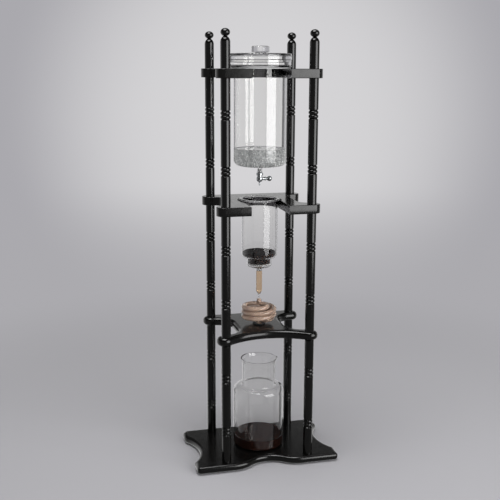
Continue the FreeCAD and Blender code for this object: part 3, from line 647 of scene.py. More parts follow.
def wooden(mesh, node, grain):
    """Finishes a piece of the stand; the grain lies flat in a board and upright in a post."""
    made = "turned" if grain == "upright" else "lacquered"
    placed(mesh, f"{node}_{made}", shared(black_lacquered_hardwood, grain), "stand",
           [node])


def base_outline():
    """The right half of the base board: a hollowed front, a waisted side and rounded corners."""
    side = 146.8
    front = -93.0
    back = 93.0
    land = 68.0
    hollow = 24.0
    bend = (land * land / 4 + hollow * hollow / 4) / hollow
    sweep = math.degrees(math.asin(land / 2 / bend))
    waist = 20.0
    span = 60.0
    reach = (span * span + waist * waist) / (2 * waist)
    lean = math.degrees(math.asin(span / reach))
    low = 7.0
    high = 13.0
    pen = Pen((0, front + hollow), flat=True)
    pen.arc((0, front + hollow - bend), -sweep)
    pen.arc((land, front + bend), sweep)
    pen.draw((side - low, front))
    pen.arc((side - low, front + low), 90, 12)
    pen.draw((side, -span))
    pen.arc((side - waist + reach, 0), -2 * lean, 24)
    pen.draw((side, back - high))
    pen.arc((side - high, back - high), 90, 14)
    pen.draw((0, back))
    return pen


def back_half(pen, waist):
    """Draws a shelf from its front right lobe round to the middle of its back."""
    throat = LOBE_X - waist
    straight = LOBE_Y - LOBE_RADIUS - throat
    pen.arc((LOBE_X, -LOBE_Y), 90, 14)
    pen.arc((LOBE_X, -straight), -90, 16)
    pen.draw((waist, straight))
    pen.arc((LOBE_X, straight), -90, 16)
    pen.arc((LOBE_X, LOBE_Y), 180, 28)
    pen.draw((0, LOBE_Y + LOBE_RADIUS))


def slotted_outline(hole, waist):
    """The right half of a shelf with straight front arms and a slot that ends in a round hole."""
    front = -LOBE_Y - LOBE_RADIUS
    mouth = math.degrees(math.acos(SLOT_HALF / hole))
    pen = Pen((0, hole), flat=True)
    pen.arc((0, 0), -90 - mouth, 40)
    pen.draw((SLOT_HALF, front), (LOBE_X, front))
    pen.arc((LOBE_X, -LOBE_Y), 90, 14)
    back_half(pen, waist)
    return pen


def lower_outline():
    """The right half of the lower shelf, whose front is one hollow curve from lobe to lobe."""
    apex = 57.0
    waist = 50.0
    reach = LOBE_X**2 + LOBE_Y**2 - 2 * LOBE_Y * apex + apex**2 - LOBE_RADIUS**2
    bend = reach / (2 * (LOBE_RADIUS + LOBE_Y - apex))
    tilt = math.degrees(math.atan2(LOBE_X, apex + bend - LOBE_Y))
    pen = Pen((0, -apex), flat=True)
    pen.arc((0, -apex - bend), -tilt, 24)
    pen.arc((LOBE_X, -LOBE_Y), 90 + tilt, 24)
    back_half(pen, waist)
    return pen


class COLDDRIP_OT_base_board(bpy.types.Operator):
    """Make the base board"""

    bl_idname = "colddrip.base_board"
    bl_label = "Base board"

    def execute(self, context):
        rim = context.scene.cold_drip_stand.base_edge_round / MM
        mesh = base_outline().board(BASE_BOTTOM, BASE_TOP - BASE_BOTTOM, rim)
        wooden(mesh, "base_board", "flat")
        return {"FINISHED"}


class COLDDRIP_OT_shelves(bpy.types.Operator):
    """Make the lower, middle and top shelves"""

    bl_idname = "colddrip.shelves"
    bl_label = "Shelves"

    def execute(self, context):
        stand = context.scene.cold_drip_stand
        thickness = TOP_SHELF_TOP - TOP_SHELF_BOTTOM
        round_edge = stand.lower_edge_round / MM
        eased_edge = stand.shelf_edge_break / MM
        lower = lower_outline().board(LOWER_SHELF_BOTTOM, thickness, round_edge)
        wooden(lower, "lower_shelf", "flat")
        middle = slotted_outline(SLOT_HALF, 68.0).board(MIDDLE_SHELF_BOTTOM, thickness, eased_edge, 3)
        wooden(middle, "middle_shelf", "flat")
        top = slotted_outline(TOP_HOLE, 68.0).board(TOP_SHELF_BOTTOM, thickness, eased_edge, 3)
        wooden(top, "top_shelf", "flat")
        return {"FINISHED"}


def draw_beads(pen, middle, groove, crown):
    """Turns one group of beads: three grooves with two round beads between them."""
    root = POST_RADIUS - groove
    pen.draw((POST_RADIUS, middle - GROOVE_PITCH - GROOVE_HALF_WIDTH, 0.5),
             (root, middle - GROOVE_PITCH))
    for count in (0, 1):
        pen.bulge((root, middle + count * GROOVE_PITCH), groove + crown, 14)
    pen.draw((POST_RADIUS, middle + GROOVE_PITCH + GROOVE_HALF_WIDTH, 0.5), (POST_RADIUS, middle + 20))


def spindle_profile(bottom, top, stand):
    """A spindle turned from bottom to top, with a group of beads near each end."""
    groove = stand.groove_depth / MM
    crown = stand.bead_proud / MM
    pen = Pen((0, bottom))
    pen.draw((POST_RADIUS, bottom, 0.4), (POST_RADIUS, bottom + 20))
    draw_beads(pen, bottom + BEAD_OFFSET, groove, crown)
    draw_beads(pen, top - BEAD_OFFSET, groove, crown)
    pen.draw((POST_RADIUS, top, 0.4), (0, top))
    return pen


def finial_profile():
    """A finial: a straight shaft, a waisted neck and a flattened ball."""
    shaft_top = TOP_SHELF_TOP + 48.0
    neck_z = TOP_SHELF_TOP + 57.5
    neck = 3.2
    ball = 8.9
    half = 7.3
    squash = half / ball
    angle = math.asin(neck / ball)
    pen = Pen((neck * squash, neck_z))
    foot = pen.tip
    pen.arc((0, neck_z + half * math.cos(angle)), 180 - math.degrees(angle), 26)
    bmesh.ops.scale(pen.mesh, vec=(1 / squash, 1, 1), verts=pen.mesh.verts)
    pen.tip = foot
    full = neck + (POST_RADIUS - neck) * 0.72
    middle = Vector((full, (shaft_top + neck_z) / 2))
    ends = (Vector((neck, neck_z)), Vector((POST_RADIUS, shaft_top)))
    height = (middle - (ends[0] + ends[1]) / 2).length
    pen.bulge((POST_RADIUS, shaft_top), -height, 12)
    pen.draw((POST_RADIUS, TOP_SHELF_TOP, 0.4), (0, TOP_SHELF_TOP))
    return pen


class COLDDRIP_OT_posts(bpy.types.Operator):
    """Turn the twelve spindles and the four finials"""

    bl_idname = "colddrip.posts"
    bl_label = "Posts"

    def execute(self, context):
        stand = context.scene.cold_drip_stand
        tiers = {
            "lower_spindle": (BASE_TOP, LOWER_SHELF_BOTTOM),
            "middle_spindle": (LOWER_SHELF_TOP, MIDDLE_SHELF_BOTTOM),
            "upper_spindle": (MIDDLE_SHELF_TOP, TOP_SHELF_BOTTOM),
        }
        for corner, (x, y) in CORNERS.items():
            for tier, (bottom, top) in tiers.items():
                mesh = spindle_profile(bottom, top, stand).turned(POST_SIDES)
                bmesh.ops.translate(mesh, vec=(x, y, 0), verts=mesh.verts)
                wooden(mesh, f"{tier}_{corner}", "upright")
            mesh = finial_profile().turned(POST_SIDES)
            bmesh.ops.translate(mesh, vec=(x, y, 0), verts=mesh.verts)
            wooden(mesh, f"finial_{corner}", "upright")
        return {"FINISHED"}


def chamber_profile():
    """The water chamber: a collar, a straight body and a narrow outlet neck, all one wall."""
    outer = CHAMBER_RADIUS
    inner = CHAMBER_RADIUS - CHAMBER_WALL
    floor = CHAMBER_BOTTOM + CHAMBER_WALL
    edge = COLLAR_RADIUS - CHAMBER_WALL
    pen = Pen((3.6, NECK_END + 0.6))
    pen.draw((3.6, NECK_END, 0.5), (5.3, NECK_END, 0.8), (5.3, CHAMBER_BOTTOM, 2.2),
             (outer, CHAMBER_BOTTOM, 12.0), (outer, COLLAR_BOTTOM, 1.6),
             (COLLAR_RADIUS, COLLAR_BOTTOM, 2.0), (COLLAR_RADIUS, COLLAR_TOP, 1.1),
             (edge, COLLAR_TOP, 1.1), (edge, COLLAR_BOTTOM + 3, 2.0),
             (inner, COLLAR_BOTTOM + 3, 1.6), (inner, floor, 9.6), (3.6, floor, 2.0),
             (3.6, NECK_END + 0.6))
    return pen


def lid_profile():
    """The lid: a plug under a flat plate, and a round solid knob on a narrow neck."""
    outer = 61.0
    plug = 57.2
    hollow = 54.8
    top = 819.0
    knob_bottom = 820.6
    knob_top = knob_bottom + 12.6
    knob = 17.5
    stem = 12.0
    pen = Pen((0, knob_top))
    pen.draw((knob, knob_top, 3.6), (knob, knob_bottom, 3.6), (stem, knob_bottom, 0.5),
             (stem, top, 0.8), (outer, top, 3.0), (outer, COLLAR_TOP, 0.8),
             (plug, COLLAR_TOP, 0.4), (plug, COLLAR_TOP - 5, 0.9),
             (hollow, COLLAR_TOP - 5, 0.9), (hollow, top - 3, 3.0), (0, top - 3))
    return pen


class COLDDRIP_OT_water_chamber(bpy.types.Operator):
    """Blow the water chamber and its lid"""

    bl_idname = "colddrip.water_chamber"
    bl_label = "Water chamber"

    def execute(self, context):
        glass = shared(borosilicate_glass)
        placed(chamber_profile().turned(), "water_chamber_blown", glass, "water_chamber",
               ["water_chamber"])
        placed(lid_profile().turned(), "water_lid_blown", glass, "water_lid",
               ["water_lid"])
        return {"FINISHED"}


def liquid_profile(radius, bottom, surface, corner, meniscus):
    """A liquid that fills a round vessel and creeps up its wall."""
    rise = meniscus * 0.75
    pen = Pen((0, bottom))
    pen.draw((radius, bottom, corner), (radius, surface + rise))
    pen.bulge((radius - 1.6 * meniscus, surface), -0.2 * meniscus, 6)
    pen.draw((0, surface))
    return pen


def ice_chip(size, melt, seed):
    """One irregular, melted chip of ice at the origin."""
    mesh = bmesh.new()
    bmesh.ops.create_cube(mesh, size=size)
    bmesh.ops.bevel(mesh, geom=mesh.edges[:], offset=melt, offset_type="OFFSET", affect="EDGES",
                    segments=1, profile=0.5, material=-1)
    bmesh.ops.subdivide_edges(mesh, edges=mesh.edges[:], cuts=2, use_grid_fill=True, smooth=0.5,
                              fractal=0.35, seed=seed)
    for _ in range(2):
        bmesh.ops.smooth_vert(mesh, verts=mesh.verts, factor=0.5, use_axis_x=True,
                              use_axis_y=True, use_axis_z=True)
    return mesh


class COLDDRIP_OT_ice_and_water(bpy.types.Operator):
    """Fill the water chamber with water and floating ice"""

    bl_idname = "colddrip.ice_and_water"
    bl_label = "Ice and water"

    def execute(self, context):
        contents = context.scene.cold_drip_contents
        inner = CHAMBER_RADIUS - CHAMBER_WALL
        bottom = CHAMBER_BOTTOM + CHAMBER_WALL - OVERLAP
        body = liquid_profile(inner + OVERLAP, bottom, WATER_SURFACE, 9.6, contents.meniscus / MM)
        placed(body.turned(), "water_standing", shared(still_water), "water_chamber",
               ["water"])
        chips = []
        for layer, (height, rings) in enumerate(ICE_LAYERS):
            for across, count in rings:
                for index in range(count):
                    seed = contents.ice_seed + len(chips)
                    size = contents.ice_size / MM * (1 + 0.22 * math.sin(2.7 * seed))
                    mesh = ice_chip(size, contents.ice_melt / MM, seed)
                    lean = Euler((1.3 * math.sin(5 * seed), 1.1 * math.cos(3 * seed), 1.7 * seed))
                    bmesh.ops.rotate(mesh, cent=ORIGIN, matrix=lean.to_matrix(), verts=mesh.verts)
                    angle = 2 * math.pi * index / count + 0.6 * layer + 0.15 * math.sin(4 * seed)
                    spot = (across * math.cos(angle), across * math.sin(angle),
                            height + 1.2 * math.sin(3.3 * seed))
                    bmesh.ops.translate(mesh, vec=spot, verts=mesh.verts)
                    chips.append(mesh)
        placed(joined(chips), "ice_melting", shared(melting_ice), "water_chamber",
               ["ice_cubes"], crease=60)
        return {"FINISHED"}


def along_x(mesh, start):
    """Lays a piece that was turned about the upright axis along X, at the valve's height."""
    bmesh.ops.rotate(mesh, cent=ORIGIN, matrix=Matrix.Rotation(math.pi / 2, 3, "Y"),
                     verts=mesh.verts)
    bmesh.ops.translate(mesh, vec=(start, 0, VALVE_Z), verts=mesh.verts)
    return mesh


class COLDDRIP_OT_valve(bpy.types.Operator):
    """Turn the needle valve's body, collar, gland nut and ball knob"""

    bl_idname = "colddrip.valve"
    bl_label = "Valve"

    def execute(self, context):
        chrome = shared(polished_chrome)
        ball = 6.7
        tip = VALVE_Z - 13
        body = Pen((0, tip))
        meet = math.sqrt(ball**2 - 2.0**2)
        body.draw((1.6, tip, 0.3), (2.0, VALVE_Z - meet))
        body.arc((0, VALVE_Z), 180 - 2 * math.degrees(math.asin(2.0 / ball)) - 34.9, 22)
        neck_z = body.tip.co.z
        body.draw((5.3, neck_z), (5.3, NECK_END - 0.05, 0.4), (3.05, NECK_END - 0.05),
                  (3.05, NECK_END + 13), (0, NECK_END + 13))
        boss = Pen((0, 0))
        boss.draw((3.2, 0), (3.2, 9.4, 0.3), (0, 9.4))
        placed(joined([body.turned(64), along_x(boss.turned(48), 0)]), "valve_body_plated", chrome,
               "water_chamber", ["valve_body"])
        nut = Pen((5.4, NECK_END))
        nut.draw((7.0, NECK_END, 0.4), (7.0, NECK_END + 4.8, 0.6), (5.4, NECK_END + 4.8),
                 (5.4, NECK_END))
        placed(nut.turned(64), "valve_collar_plated", chrome, "water_chamber",
               ["valve_collar_nut"])
        gland = Pen((1.6, 10.3))
        gland.draw((3.8, 10.3, 0.3), (3.8, 12.5, 0.5), (1.6, 12.5), (1.6, 10.3))
        placed(along_x(gland.turned(48), 0), "valve_gland_plated", chrome, "water_chamber",
               ["valve_gland_nut"])
        knob = Pen((1.6, 13.4))
        hub = 2.8
        reach = math.sqrt(5.2**2 - hub**2)
        knob.draw((hub, 13.4, 0.4), (hub, 20 - reach))
        knob.arc((0, 20), 180 - math.degrees(math.asin(hub / 5.2)), 30)
        knob.tip = knob.mesh.verts.new(knob.place((1.6, 13.4)))
        knob.draw((1.6, 18), (0, 18))
        placed(along_x(knob.turned(56), 0), "valve_knob_plated", chrome, "valve_knob",
               ["valve_knob"])
        return {"FINISHED"}


def brew_profile():
    """The brew chamber: a flanged rim, a straight body, a stepped narrow cup and an outlet nipple."""
    body = 36.0
    wall = 2.2
    flange = 40.5
    seat = MIDDLE_SHELF_TOP
    rim = seat + 3
    low = CUP_BOTTOM - 9
    pen = Pen((2.4, low + 0.6))
    pen.draw((2.4, low, 0.5), (4.0, low, 0.6), (4.0, CUP_BOTTOM, 1.5), (25.0, CUP_BOTTOM, 5.0),
             (25.0, CUP_TOP + 3, 3.0), (body, CUP_TOP + 3, 8.0), (body, seat, 1.0),
             (flange, seat, 1.1), (flange, rim, 1.4), (body - wall, rim, 1.4),
             (body - wall, CUP_TOP + 3 + wall, 5.8), (25.0 - wall, CUP_TOP + 3 + wall, 5.2),
             (25.0 - wall, CUP_BOTTOM + wall, 2.8), (2.4, CUP_BOTTOM + wall, 1.0),
             (2.4, low + 0.6))
    return pen


def grounds_mesh():
    """The bed of grounds: it fills the cup and the chamber's foot, with an uneven top."""
    gap = 0.1
    low = CUP_BOTTOM + 8.2
    body = 36.0 - 2.2 - gap
    pen = Pen((0, low))
    pen.draw((22.8 - gap, low), (22.8 - gap, CUP_TOP + 5.3, 5.2), (body, CUP_TOP + 5.3, 5.7),
             (body, GROUNDS_SURFACE + 0.4), (body - 1.5, GROUNDS_SURFACE - 0.3))
    for count in range(1, 17):
        pen.draw(((body - 1.5) * (1 - count / 16), GROUNDS_SURFACE - 0.5))
    mesh = pen.turned(84)
    for vert in mesh.verts:
        if vert.co.z > GROUNDS_SURFACE - 0.8:
            x, y = vert.co.xy
            dents = math.sin(0.9 * x + 0.4 * y) * math.cos(0.7 * y - 0.3 * x)
            dents += 0.6 * math.sin(2.1 * x - 1.3 * y + 1) * math.sin(1.9 * y + 0.8 * x)
            bmesh.ops.translate(mesh, vec=(0, 0, 0.35 * dents), verts=[vert])
    return mesh


class COLDDRIP_OT_brew_chamber(bpy.types.Operator):
    """Blow the brew chamber, fill it with grounds and lay its pad"""

    bl_idname = "colddrip.brew_chamber"
    bl_label = "Brew chamber"

    def execute(self, context):
        placed(brew_profile().turned(), "brew_chamber_blown", shared(borosilicate_glass),
               "brew_chamber", ["brew_chamber"])
        placed(grounds_mesh(), "grounds_soaked", shared(wet_coffee_grounds), "brew_chamber",
               ["coffee_grounds"], crease=60)
        inner = SLOT_HALF + 0.15
        outer = 44.4
        bottom = MIDDLE_SHELF_TOP - 1.4
        top = MIDDLE_SHELF_TOP + 0.25
        cut = math.degrees(math.acos(inner / outer))
        pen = Pen((0, inner), flat=True)
        pen.arc((0, 0), -90, 40)
        pen.draw((inner, -outer * math.sin(math.radians(cut))))
        pen.arc((0, 0), 90 + cut, 50)
        placed(pen.board(bottom, top - bottom, 0.2, 2, inset=0), "brew_pad_moulded",
               shared(moulded_rubber), "stand", ["brew_pad"])
        return {"FINISHED"}


class COLDDRIP_OT_drip_tube(bpy.types.Operator):
    """Draw the drip tube and the coffee in it"""

    bl_idname = "colddrip.drip_tube"
    bl_label = "Drip tube"

    def execute(self, context):
        outer = 6.2
        inner = 4.9
        top = CUP_BOTTOM - 0.3
        shoulder = TUBE_TIP + 13
        tube = Pen((0.7, TUBE_TIP + 0.2))
        tube.draw((0.7, TUBE_TIP, 0.15), (1.6, TUBE_TIP, 0.4), (1.9, TUBE_TIP + 5, 12),
                  (outer, shoulder, 5.0), (outer, top, 0.5), (inner, top, 0.5),
                  (inner, shoulder, 4.0), (0.8, TUBE_TIP + 5.6, 10), (0.7, TUBE_TIP + 0.2))
        placed(tube.turned(64), "drip_tube_drawn", shared(borosilicate_glass), "brew_chamber",
               ["drip_tube"])
        coffee = Pen((0, TUBE_TIP + 7))
        coffee.draw((1.2, TUBE_TIP + 7), (inner + 0.15, shoulder, 4.0),
                    (inner + 0.15, CUP_BOTTOM - 9.2), (0, CUP_BOTTOM - 9.6))
        placed(coffee.turned(56), "drip_tube_coffee_clear", shared(coffee_liquid, "thin"),
               "brew_chamber", ["drip_tube_coffee"])
        return {"FINISHED"}


def coil_line():
    """The coil's centre line: up from its outlet, out into the helix, round it and in to its inlet."""
    radius = 31.3
    pitch = 10.0
    lead = 150.0
    bend = 9.0
    turns = 2.25
    start = 90.0
    low = LOWER_SHELF_TOP + 14.1
    outlet = LOWER_SHELF_TOP - 28.0

    def end_line(end, outward, height, turn):
        line = []
        stem = height - turn * bend
        for index in range(8):
            line.append(Vector((0, 0, end + (stem - end) * index / 8)))
        for index in range(12):
            angle = math.radians(90 * index / 12)
            out = bend * (1 - math.cos(angle))
            level = height - turn * bend * (1 - math.sin(angle))
            side = math.radians(outward)
            line.append(Vector((out * math.cos(side), out * math.sin(side), level)))
        for index in range(30):
            share = index / 30
            swept_angle = lead * share**2
            out = bend + (radius - bend) * math.sin(share * math.pi / 2)
            side = math.radians(outward + turn * swept_angle)
            level = height + turn * pitch * swept_angle / 360
            line.append(Vector((out * math.cos(side), out * math.sin(side), level)))
        return line

    first = start - lead
    last = start + 360 * turns + lead
    line = end_line(outlet, first, low - pitch * lead / 360, 1)
    count = round(60 * turns)
    for index in range(count + 1):
        turn = turns * index / count
        angle = math.radians(start + 360 * turn)
        spot = (radius * math.cos(angle), radius * math.sin(angle), low + pitch * turn)
        line.append(Vector(spot))
    top = low + pitch * (turns + lead / 360)
    return line + list(reversed(end_line(COIL_INLET, last, top, -1)))


class COLDDRIP_OT_coil(bpy.types.Operator):
    """Bend the drip coil, fill it with coffee and seat it on its bung"""

    bl_idname = "colddrip.coil"
    bl_label = "Drip coil"

    def execute(self, context):
        line = coil_line()
        outside = swept(line, 4.7, 24)
        inside = swept(line, 3.5, 24)
        tube = joined([outside, inside])
        ends = [edge for edge in tube.edges if edge.is_boundary]
        for level in (min, max):
            height = level(edge.verts[0].co.z for edge in ends)
            rims = [edge for edge in ends if abs(edge.verts[0].co.z - height) < 0.2]
            bmesh.ops.bridge_loops(tube, edges=rims)
        collar = Pen((4.7, LOWER_SHELF_TOP + 1.6))
        collar.draw((8.0, LOWER_SHELF_TOP + 1.6, 0.6), (8.0, LOWER_SHELF_TOP + 4.2, 0.9),
                    (4.7, LOWER_SHELF_TOP + 4.2), (4.7, LOWER_SHELF_TOP + 1.6))
        tube = joined([tube, collar.turned(48)])
        placed(tube, "drip_coil_bent", shared(borosilicate_glass), "drip_coil",
               ["drip_coil"], crease=60)
        coffee = swept(line, 3.6, 20)
        bmesh.ops.holes_fill(coffee, edges=coffee.edges, sides=0)
        placed(coffee, "coil_coffee_pale", shared(coffee_liquid, "pale"), "drip_coil",
               ["coil_coffee"], crease=60)
        return {"FINISHED"}


def carafe_profile():
    """The carafe: a round foot, a straight body, a soft shoulder, a neck and a turned-out rim."""
    outer = 52.4
    wall = CHAMBER_WALL
    neck = 34.2
    rim = 37.0
    top = CARAFE_BOTTOM + 187
    throat = CARAFE_BOTTOM + 134 - 5
    pen = Pen((0, CARAFE_BOTTOM + 1.5))
    pen.draw((30, CARAFE_BOTTOM + 0.9, 6), (40, CARAFE_BOTTOM, 3), (outer, CARAFE_BOTTOM, 7.0),
             (outer, throat, 11.0), (neck, throat, 5.0), (neck, top - 7, 6.0), (rim, top, 0.0),
             (rim - 1.2, top), (rim - wall, top - 0.3), (neck - wall, top - 7, 6.0),
             (neck - wall, throat - wall, 7.4), (outer - wall, throat - wall, 8.6),
             (outer - wall, CARAFE_BOTTOM + wall, 4.6), (0, CARAFE_BOTTOM + wall + 0.8))
    return pen


class COLDDRIP_OT_carafe(bpy.types.Operator):
    """Blow the carafe, draw out its spout and pour in some coffee"""

    bl_idname = "colddrip.carafe"
    bl_label = "Carafe"

    def execute(self, context):
        glass = context.scene.cold_drip_glass
        contents = context.scene.cold_drip_contents
        mesh = carafe_profile().turned()
        rim_z = CARAFE_BOTTOM + 187
        reach = glass.spout_reach / MM
        for vert in mesh.verts:
            height = (vert.co.z - rim_z + 14) / 14
            angle = math.atan2(vert.co.y, vert.co.x) / math.radians(26)
            if height > 0 and abs(angle) < 1:
                pull = reach * height**2 * (0.5 + 0.5 * math.cos(math.pi * angle))
                outward = Vector((vert.co.x, vert.co.y, 0)).normalized()
                bmesh.ops.translate(mesh, vec=outward * pull - UP * 0.35 * pull, verts=[vert])
        placed(mesh, "carafe_blown", shared(borosilicate_glass), "carafe",
               ["carafe"])
        inner = 50.0
        bottom = CARAFE_BOTTOM + CHAMBER_WALL - OVERLAP
        body = liquid_profile(inner + OVERLAP, bottom, CARAFE_BOTTOM + 22, 4.6,
                              contents.meniscus / MM)
        placed(body.turned(), "brewed_coffee_poured", shared(coffee_liquid, "strong"), "carafe",
               ["brewed_coffee"])
        return {"FINISHED"}


class COLDDRIP_OT_fittings(bpy.types.Operator):
    """Give the fittings that stay as packed their materials"""

    bl_idname = "colddrip.fittings"
    bl_label = "Fittings"

    def execute(self, context):
        finishes = {
            moulded_rubber: ["base_feet", "coil_bung", "valve_oring"],
            clear_silicone: ["chamber_seat_ring", "valve_sleeve", "filter_gasket", "tube_grommet"],
            plated_steel: ["base_screws", "lower_shelf_studs", "middle_shelf_studs",
                           "top_shelf_studs"],
            turned_brass: ["lower_spindle_inserts", "middle_spindle_inserts",
                           "upper_spindle_inserts", "finial_inserts"],
            polished_chrome: ["valve_needle"],
            fired_ceramic: ["filter_disc"],
        }
        for make, nodes in finishes.items():
            for name in nodes:
                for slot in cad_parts[name].material_slots:
                    slot.material = shared(make)
        return {"FINISHED"}


def softbox(name, place, target, width, height, power):
    """A rectangular soft light aimed at a point, unseen by the camera."""
    data = bpy.data.lights.new(name, "AREA")
    data.shape = "RECTANGLE"
    data.size = width
    data.size_y = height
    data.energy = power
    lamp = bpy.data.objects.new(name, data)
    lamp.location = place
    lamp.rotation_euler = (Vector(target) - Vector(place)).to_track_quat("-Z", "Y").to_euler()
    lamp.visible_camera = False
    bpy.context.scene.collection.objects.link(lamp)
    return lamp


class COLDDRIP_OT_stage(bpy.types.Operator):
    """Lay the floor, hang the lights and set the camera"""

    bl_idname = "colddrip.stage"
    bl_label = "Stage"

    def execute(self, context):
        scene = context.scene
        stage = scene.cold_drip_stage
        self.make_floor(scene, stage)
        self.make_world(scene, stage)
        for name, (place, target, width, height) in SOFTBOXES.items():
            power = getattr(stage, f"{name}_power")
            lamp = softbox(f"{name}_softbox", place, target, width, height, power)
            lamp.visible_transmission = name == "upper"
        data = bpy.data.cameras.new("camera")
        data.lens = stage.lens
        data.sensor_width = 36
        data.clip_start = 0.05
        data.clip_end = 100
        camera = bpy.data.objects.new("camera", data)
        turn = Euler((math.radians(CAMERA_TILT), 0, math.radians(CAMERA_TURN))).to_matrix()
        turn = turn @ Matrix.Rotation(math.radians(CAMERA_ROLL), 3, "Z")
        camera.matrix_world = Matrix.Translation(CAMERA_PLACE) @ turn.to_4x4()
        scene.collection.objects.link(camera)
        scene.camera = camera
        scene.view_settings.view_transform = "Standard"
        return {"FINISHED"}

    def backdrop_tone(self, tree, way, stage):
        """The backdrop's colour along a way from the camera, with a soft painted pool of light round
        the tower.
        """
        turned = add_node(tree, "ShaderNodeVectorMath", {0: way, 1: PAINTED_POOL_WAY},
                          operation="DOT_PRODUCT")
        # The brighter patch is a painted pool of light, centred on the way given above.
        lit = add_node(tree, "ShaderNodeMapRange", {
            "Value": turned.outputs["Value"], "From Min": 0.955, "From Max": 0.998},
            interpolation_type="SMOOTHSTEP")
        tone = add_node(tree, "ShaderNodeMix", {
            "Factor": lit.outputs[0], 6: (*stage.backdrop, 1), 7: (*stage.backdrop_centre, 1)},
            data_type="RGBA")
        return tone.outputs[2]

    def make_floor(self, scene, stage):
        """A wide plain floor that takes the tower's shadow near it and fades into the backdrop."""
        mesh = bmesh.new()
        bmesh.ops.create_circle(mesh, cap_ends=True, radius=40, segments=96)
        data = bpy.data.meshes.new("floor")
        mesh.to_mesh(data)
        mesh.free()
        floor = bpy.data.objects.new("floor", data)
        scene.collection.objects.link(floor)
        floor.visible_glossy = False
        material = bpy.data.materials.new("painted_floor")
        material.use_nodes = True
        tree = material.node_tree
        tree.nodes.clear()
        place = add_node(tree, "ShaderNodeTexCoord").outputs["Object"]
        away = add_node(tree, "ShaderNodeVectorMath", {0: place}, operation="LENGTH")
        fade = add_node(tree, "ShaderNodeMapRange", {
            "Value": away.outputs["Value"], "From Min": 0.4, "From Max": 1.4},
            interpolation_type="SMOOTHSTEP")
        depth = add_node(tree, "ShaderNodeMapRange", {
            "Value": away.outputs["Value"], "From Min": 0.5, "From Max": 4.5},
            interpolation_type="SMOOTHSTEP")
        line = add_node(tree, "ShaderNodeVectorMath", {0: place, 1: CAMERA_PLACE},
                        operation="SUBTRACT")
        way = add_node(tree, "ShaderNodeVectorMath", {0: line.outputs[0]}, operation="NORMALIZE")
        # Farther out the floor glows in the backdrop's colours, painted pool of light included.
        tone = add_node(tree, "ShaderNodeMix", {
            "Factor": depth.outputs[0], 6: (*stage.floor, 1),
            7: self.backdrop_tone(tree, way.outputs[0], stage)}, data_type="RGBA")
        paint = add_node(tree, "ShaderNodeBsdfPrincipled", {
            "Base Color": (*stage.floor, 1), "Roughness": 0.8})
        glow = add_node(tree, "ShaderNodeEmission", {"Color": tone.outputs[2], "Strength": 1.0})
        mixed = add_node(tree, "ShaderNodeMixShader", {
            0: fade.outputs[0], 1: paint.outputs[0], 2: glow.outputs[0]})
        add_node(tree, "ShaderNodeOutputMaterial", {"Surface": mixed.outputs[0]})
        data.materials.append(material)

    def make_world(self, scene, stage):
        """The backdrop for the camera and through glass, a dimmer front for mirrors, and even light."""
        world = bpy.data.worlds.new("studio")
        world.use_nodes = True
        tree = world.node_tree
        tree.nodes.clear()
        way = add_node(tree, "ShaderNodeTexCoord").outputs["Generated"]
        height = add_node(tree, "ShaderNodeSeparateXYZ", {"Vector": way})
        ramp = add_node(tree, "ShaderNodeValToRGB", {"Fac": height.outputs["Z"]})
        elements = ramp.color_ramp.elements
        for index, (place, strength) in enumerate(ROOM_STOPS):
            stop = elements[index] if index < 2 else elements.new(place)
            stop.position = place
            stop.color = (strength, strength, strength, 1)
        front = add_node(tree, "ShaderNodeMapRange", {
            "Value": height.outputs["Y"], "From Min": -0.1, "From Max": 0.65,
            "To Min": stage.front_glow, "To Max": 1.0}, interpolation_type="SMOOTHSTEP")
        glow = add_node(tree, "ShaderNodeMath", {
            0: front.outputs[0], 1: ramp.outputs[0]}, operation="MULTIPLY")
        path = add_node(tree, "ShaderNodeLightPath")
        mirrored = add_node(tree, "ShaderNodeBackground", {
            "Color": linear("#E7E7E7"), "Strength": glow.outputs[0]})
        even = add_node(tree, "ShaderNodeBackground", {
            "Color": (1, 1, 1, 1), "Strength": stage.ambient})
        behind = add_node(tree, "ShaderNodeBackground", {
            "Color": self.backdrop_tone(tree, way, stage), "Strength": ramp.outputs[0]})
        light = add_node(tree, "ShaderNodeMixShader", {
            0: path.outputs["Is Glossy Ray"], 1: even.outputs[0], 2: mirrored.outputs[0]})
        seen = add_node(tree, "ShaderNodeMath", {
            0: path.outputs["Is Camera Ray"], 1: path.outputs["Is Transmission Ray"]},
            operation="MAXIMUM")
        room = add_node(tree, "ShaderNodeMixShader", {
            0: seen.outputs[0], 1: light.outputs[0], 2: behind.outputs[0]})
        add_node(tree, "ShaderNodeOutputWorld", {"Surface": room.outputs[0]})
        scene.world = world


OPERATORS = (
    COLDDRIP_OT_base_board, COLDDRIP_OT_shelves, COLDDRIP_OT_posts, COLDDRIP_OT_water_chamber,
    COLDDRIP_OT_ice_and_water, COLDDRIP_OT_valve, COLDDRIP_OT_brew_chamber,
    COLDDRIP_OT_drip_tube, COLDDRIP_OT_coil, COLDDRIP_OT_carafe, COLDDRIP_OT_fittings,
    COLDDRIP_OT_stage,
)


class COLDDRIP_PT_panel(bpy.types.Panel):
    """Lists the tower's settings and the operators that make its pieces"""

    bl_idname = "COLDDRIP_PT_panel"
    bl_label = "Cold drip tower"
    bl_space_type = "VIEW_3D"
    bl_region_type = "UI"
    bl_category = "Cold drip"

    def draw(self, context):
        scene = context.scene
        for group in (scene.cold_drip_stand, scene.cold_drip_glass, scene.cold_drip_contents,
                      scene.cold_drip_stage):
            box = self.layout.box()
            for name in group.__annotations__:
                box.prop(group, name)
        for operator in OPERATORS:
            self.layout.operator(operator.bl_idname)


GROUPS = {
    "cold_drip_stand": ColdDripStand,
    "cold_drip_glass": ColdDripGlass,
    "cold_drip_contents": ColdDripContents,
    "cold_drip_stage": ColdDripStage,
}


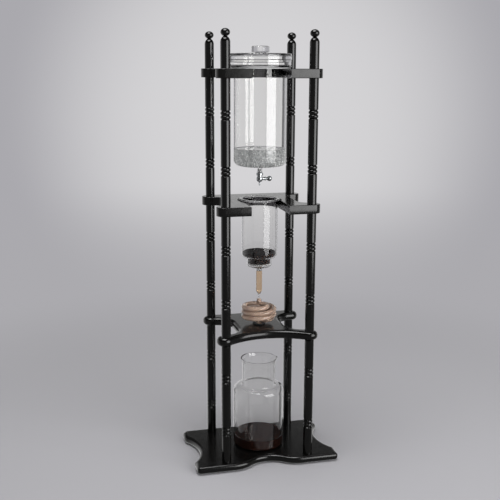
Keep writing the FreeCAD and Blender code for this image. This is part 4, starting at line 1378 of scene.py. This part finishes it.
def register():
    """Registers the settings, the operators and the panel."""
    for name, group in GROUPS.items():
        bpy.utils.register_class(group)
        setattr(bpy.types.Scene, name, PointerProperty(type=group))
    for made in (*OPERATORS, COLDDRIP_PT_panel):
        bpy.utils.register_class(made)


def unregister():
    """Takes the panel, the operators and the settings away again."""
    for made in reversed((*OPERATORS, COLDDRIP_PT_panel)):
        bpy.utils.unregister_class(made)
    for name, group in GROUPS.items():
        delattr(bpy.types.Scene, name)
        bpy.utils.unregister_class(group)


def main():
    """Makes every piece and the stage."""
    register()
    for operator in OPERATORS:
        group, name = operator.bl_idname.split(".")
        getattr(getattr(bpy.ops, group), name)()


if __name__ == "__main__":
    main()
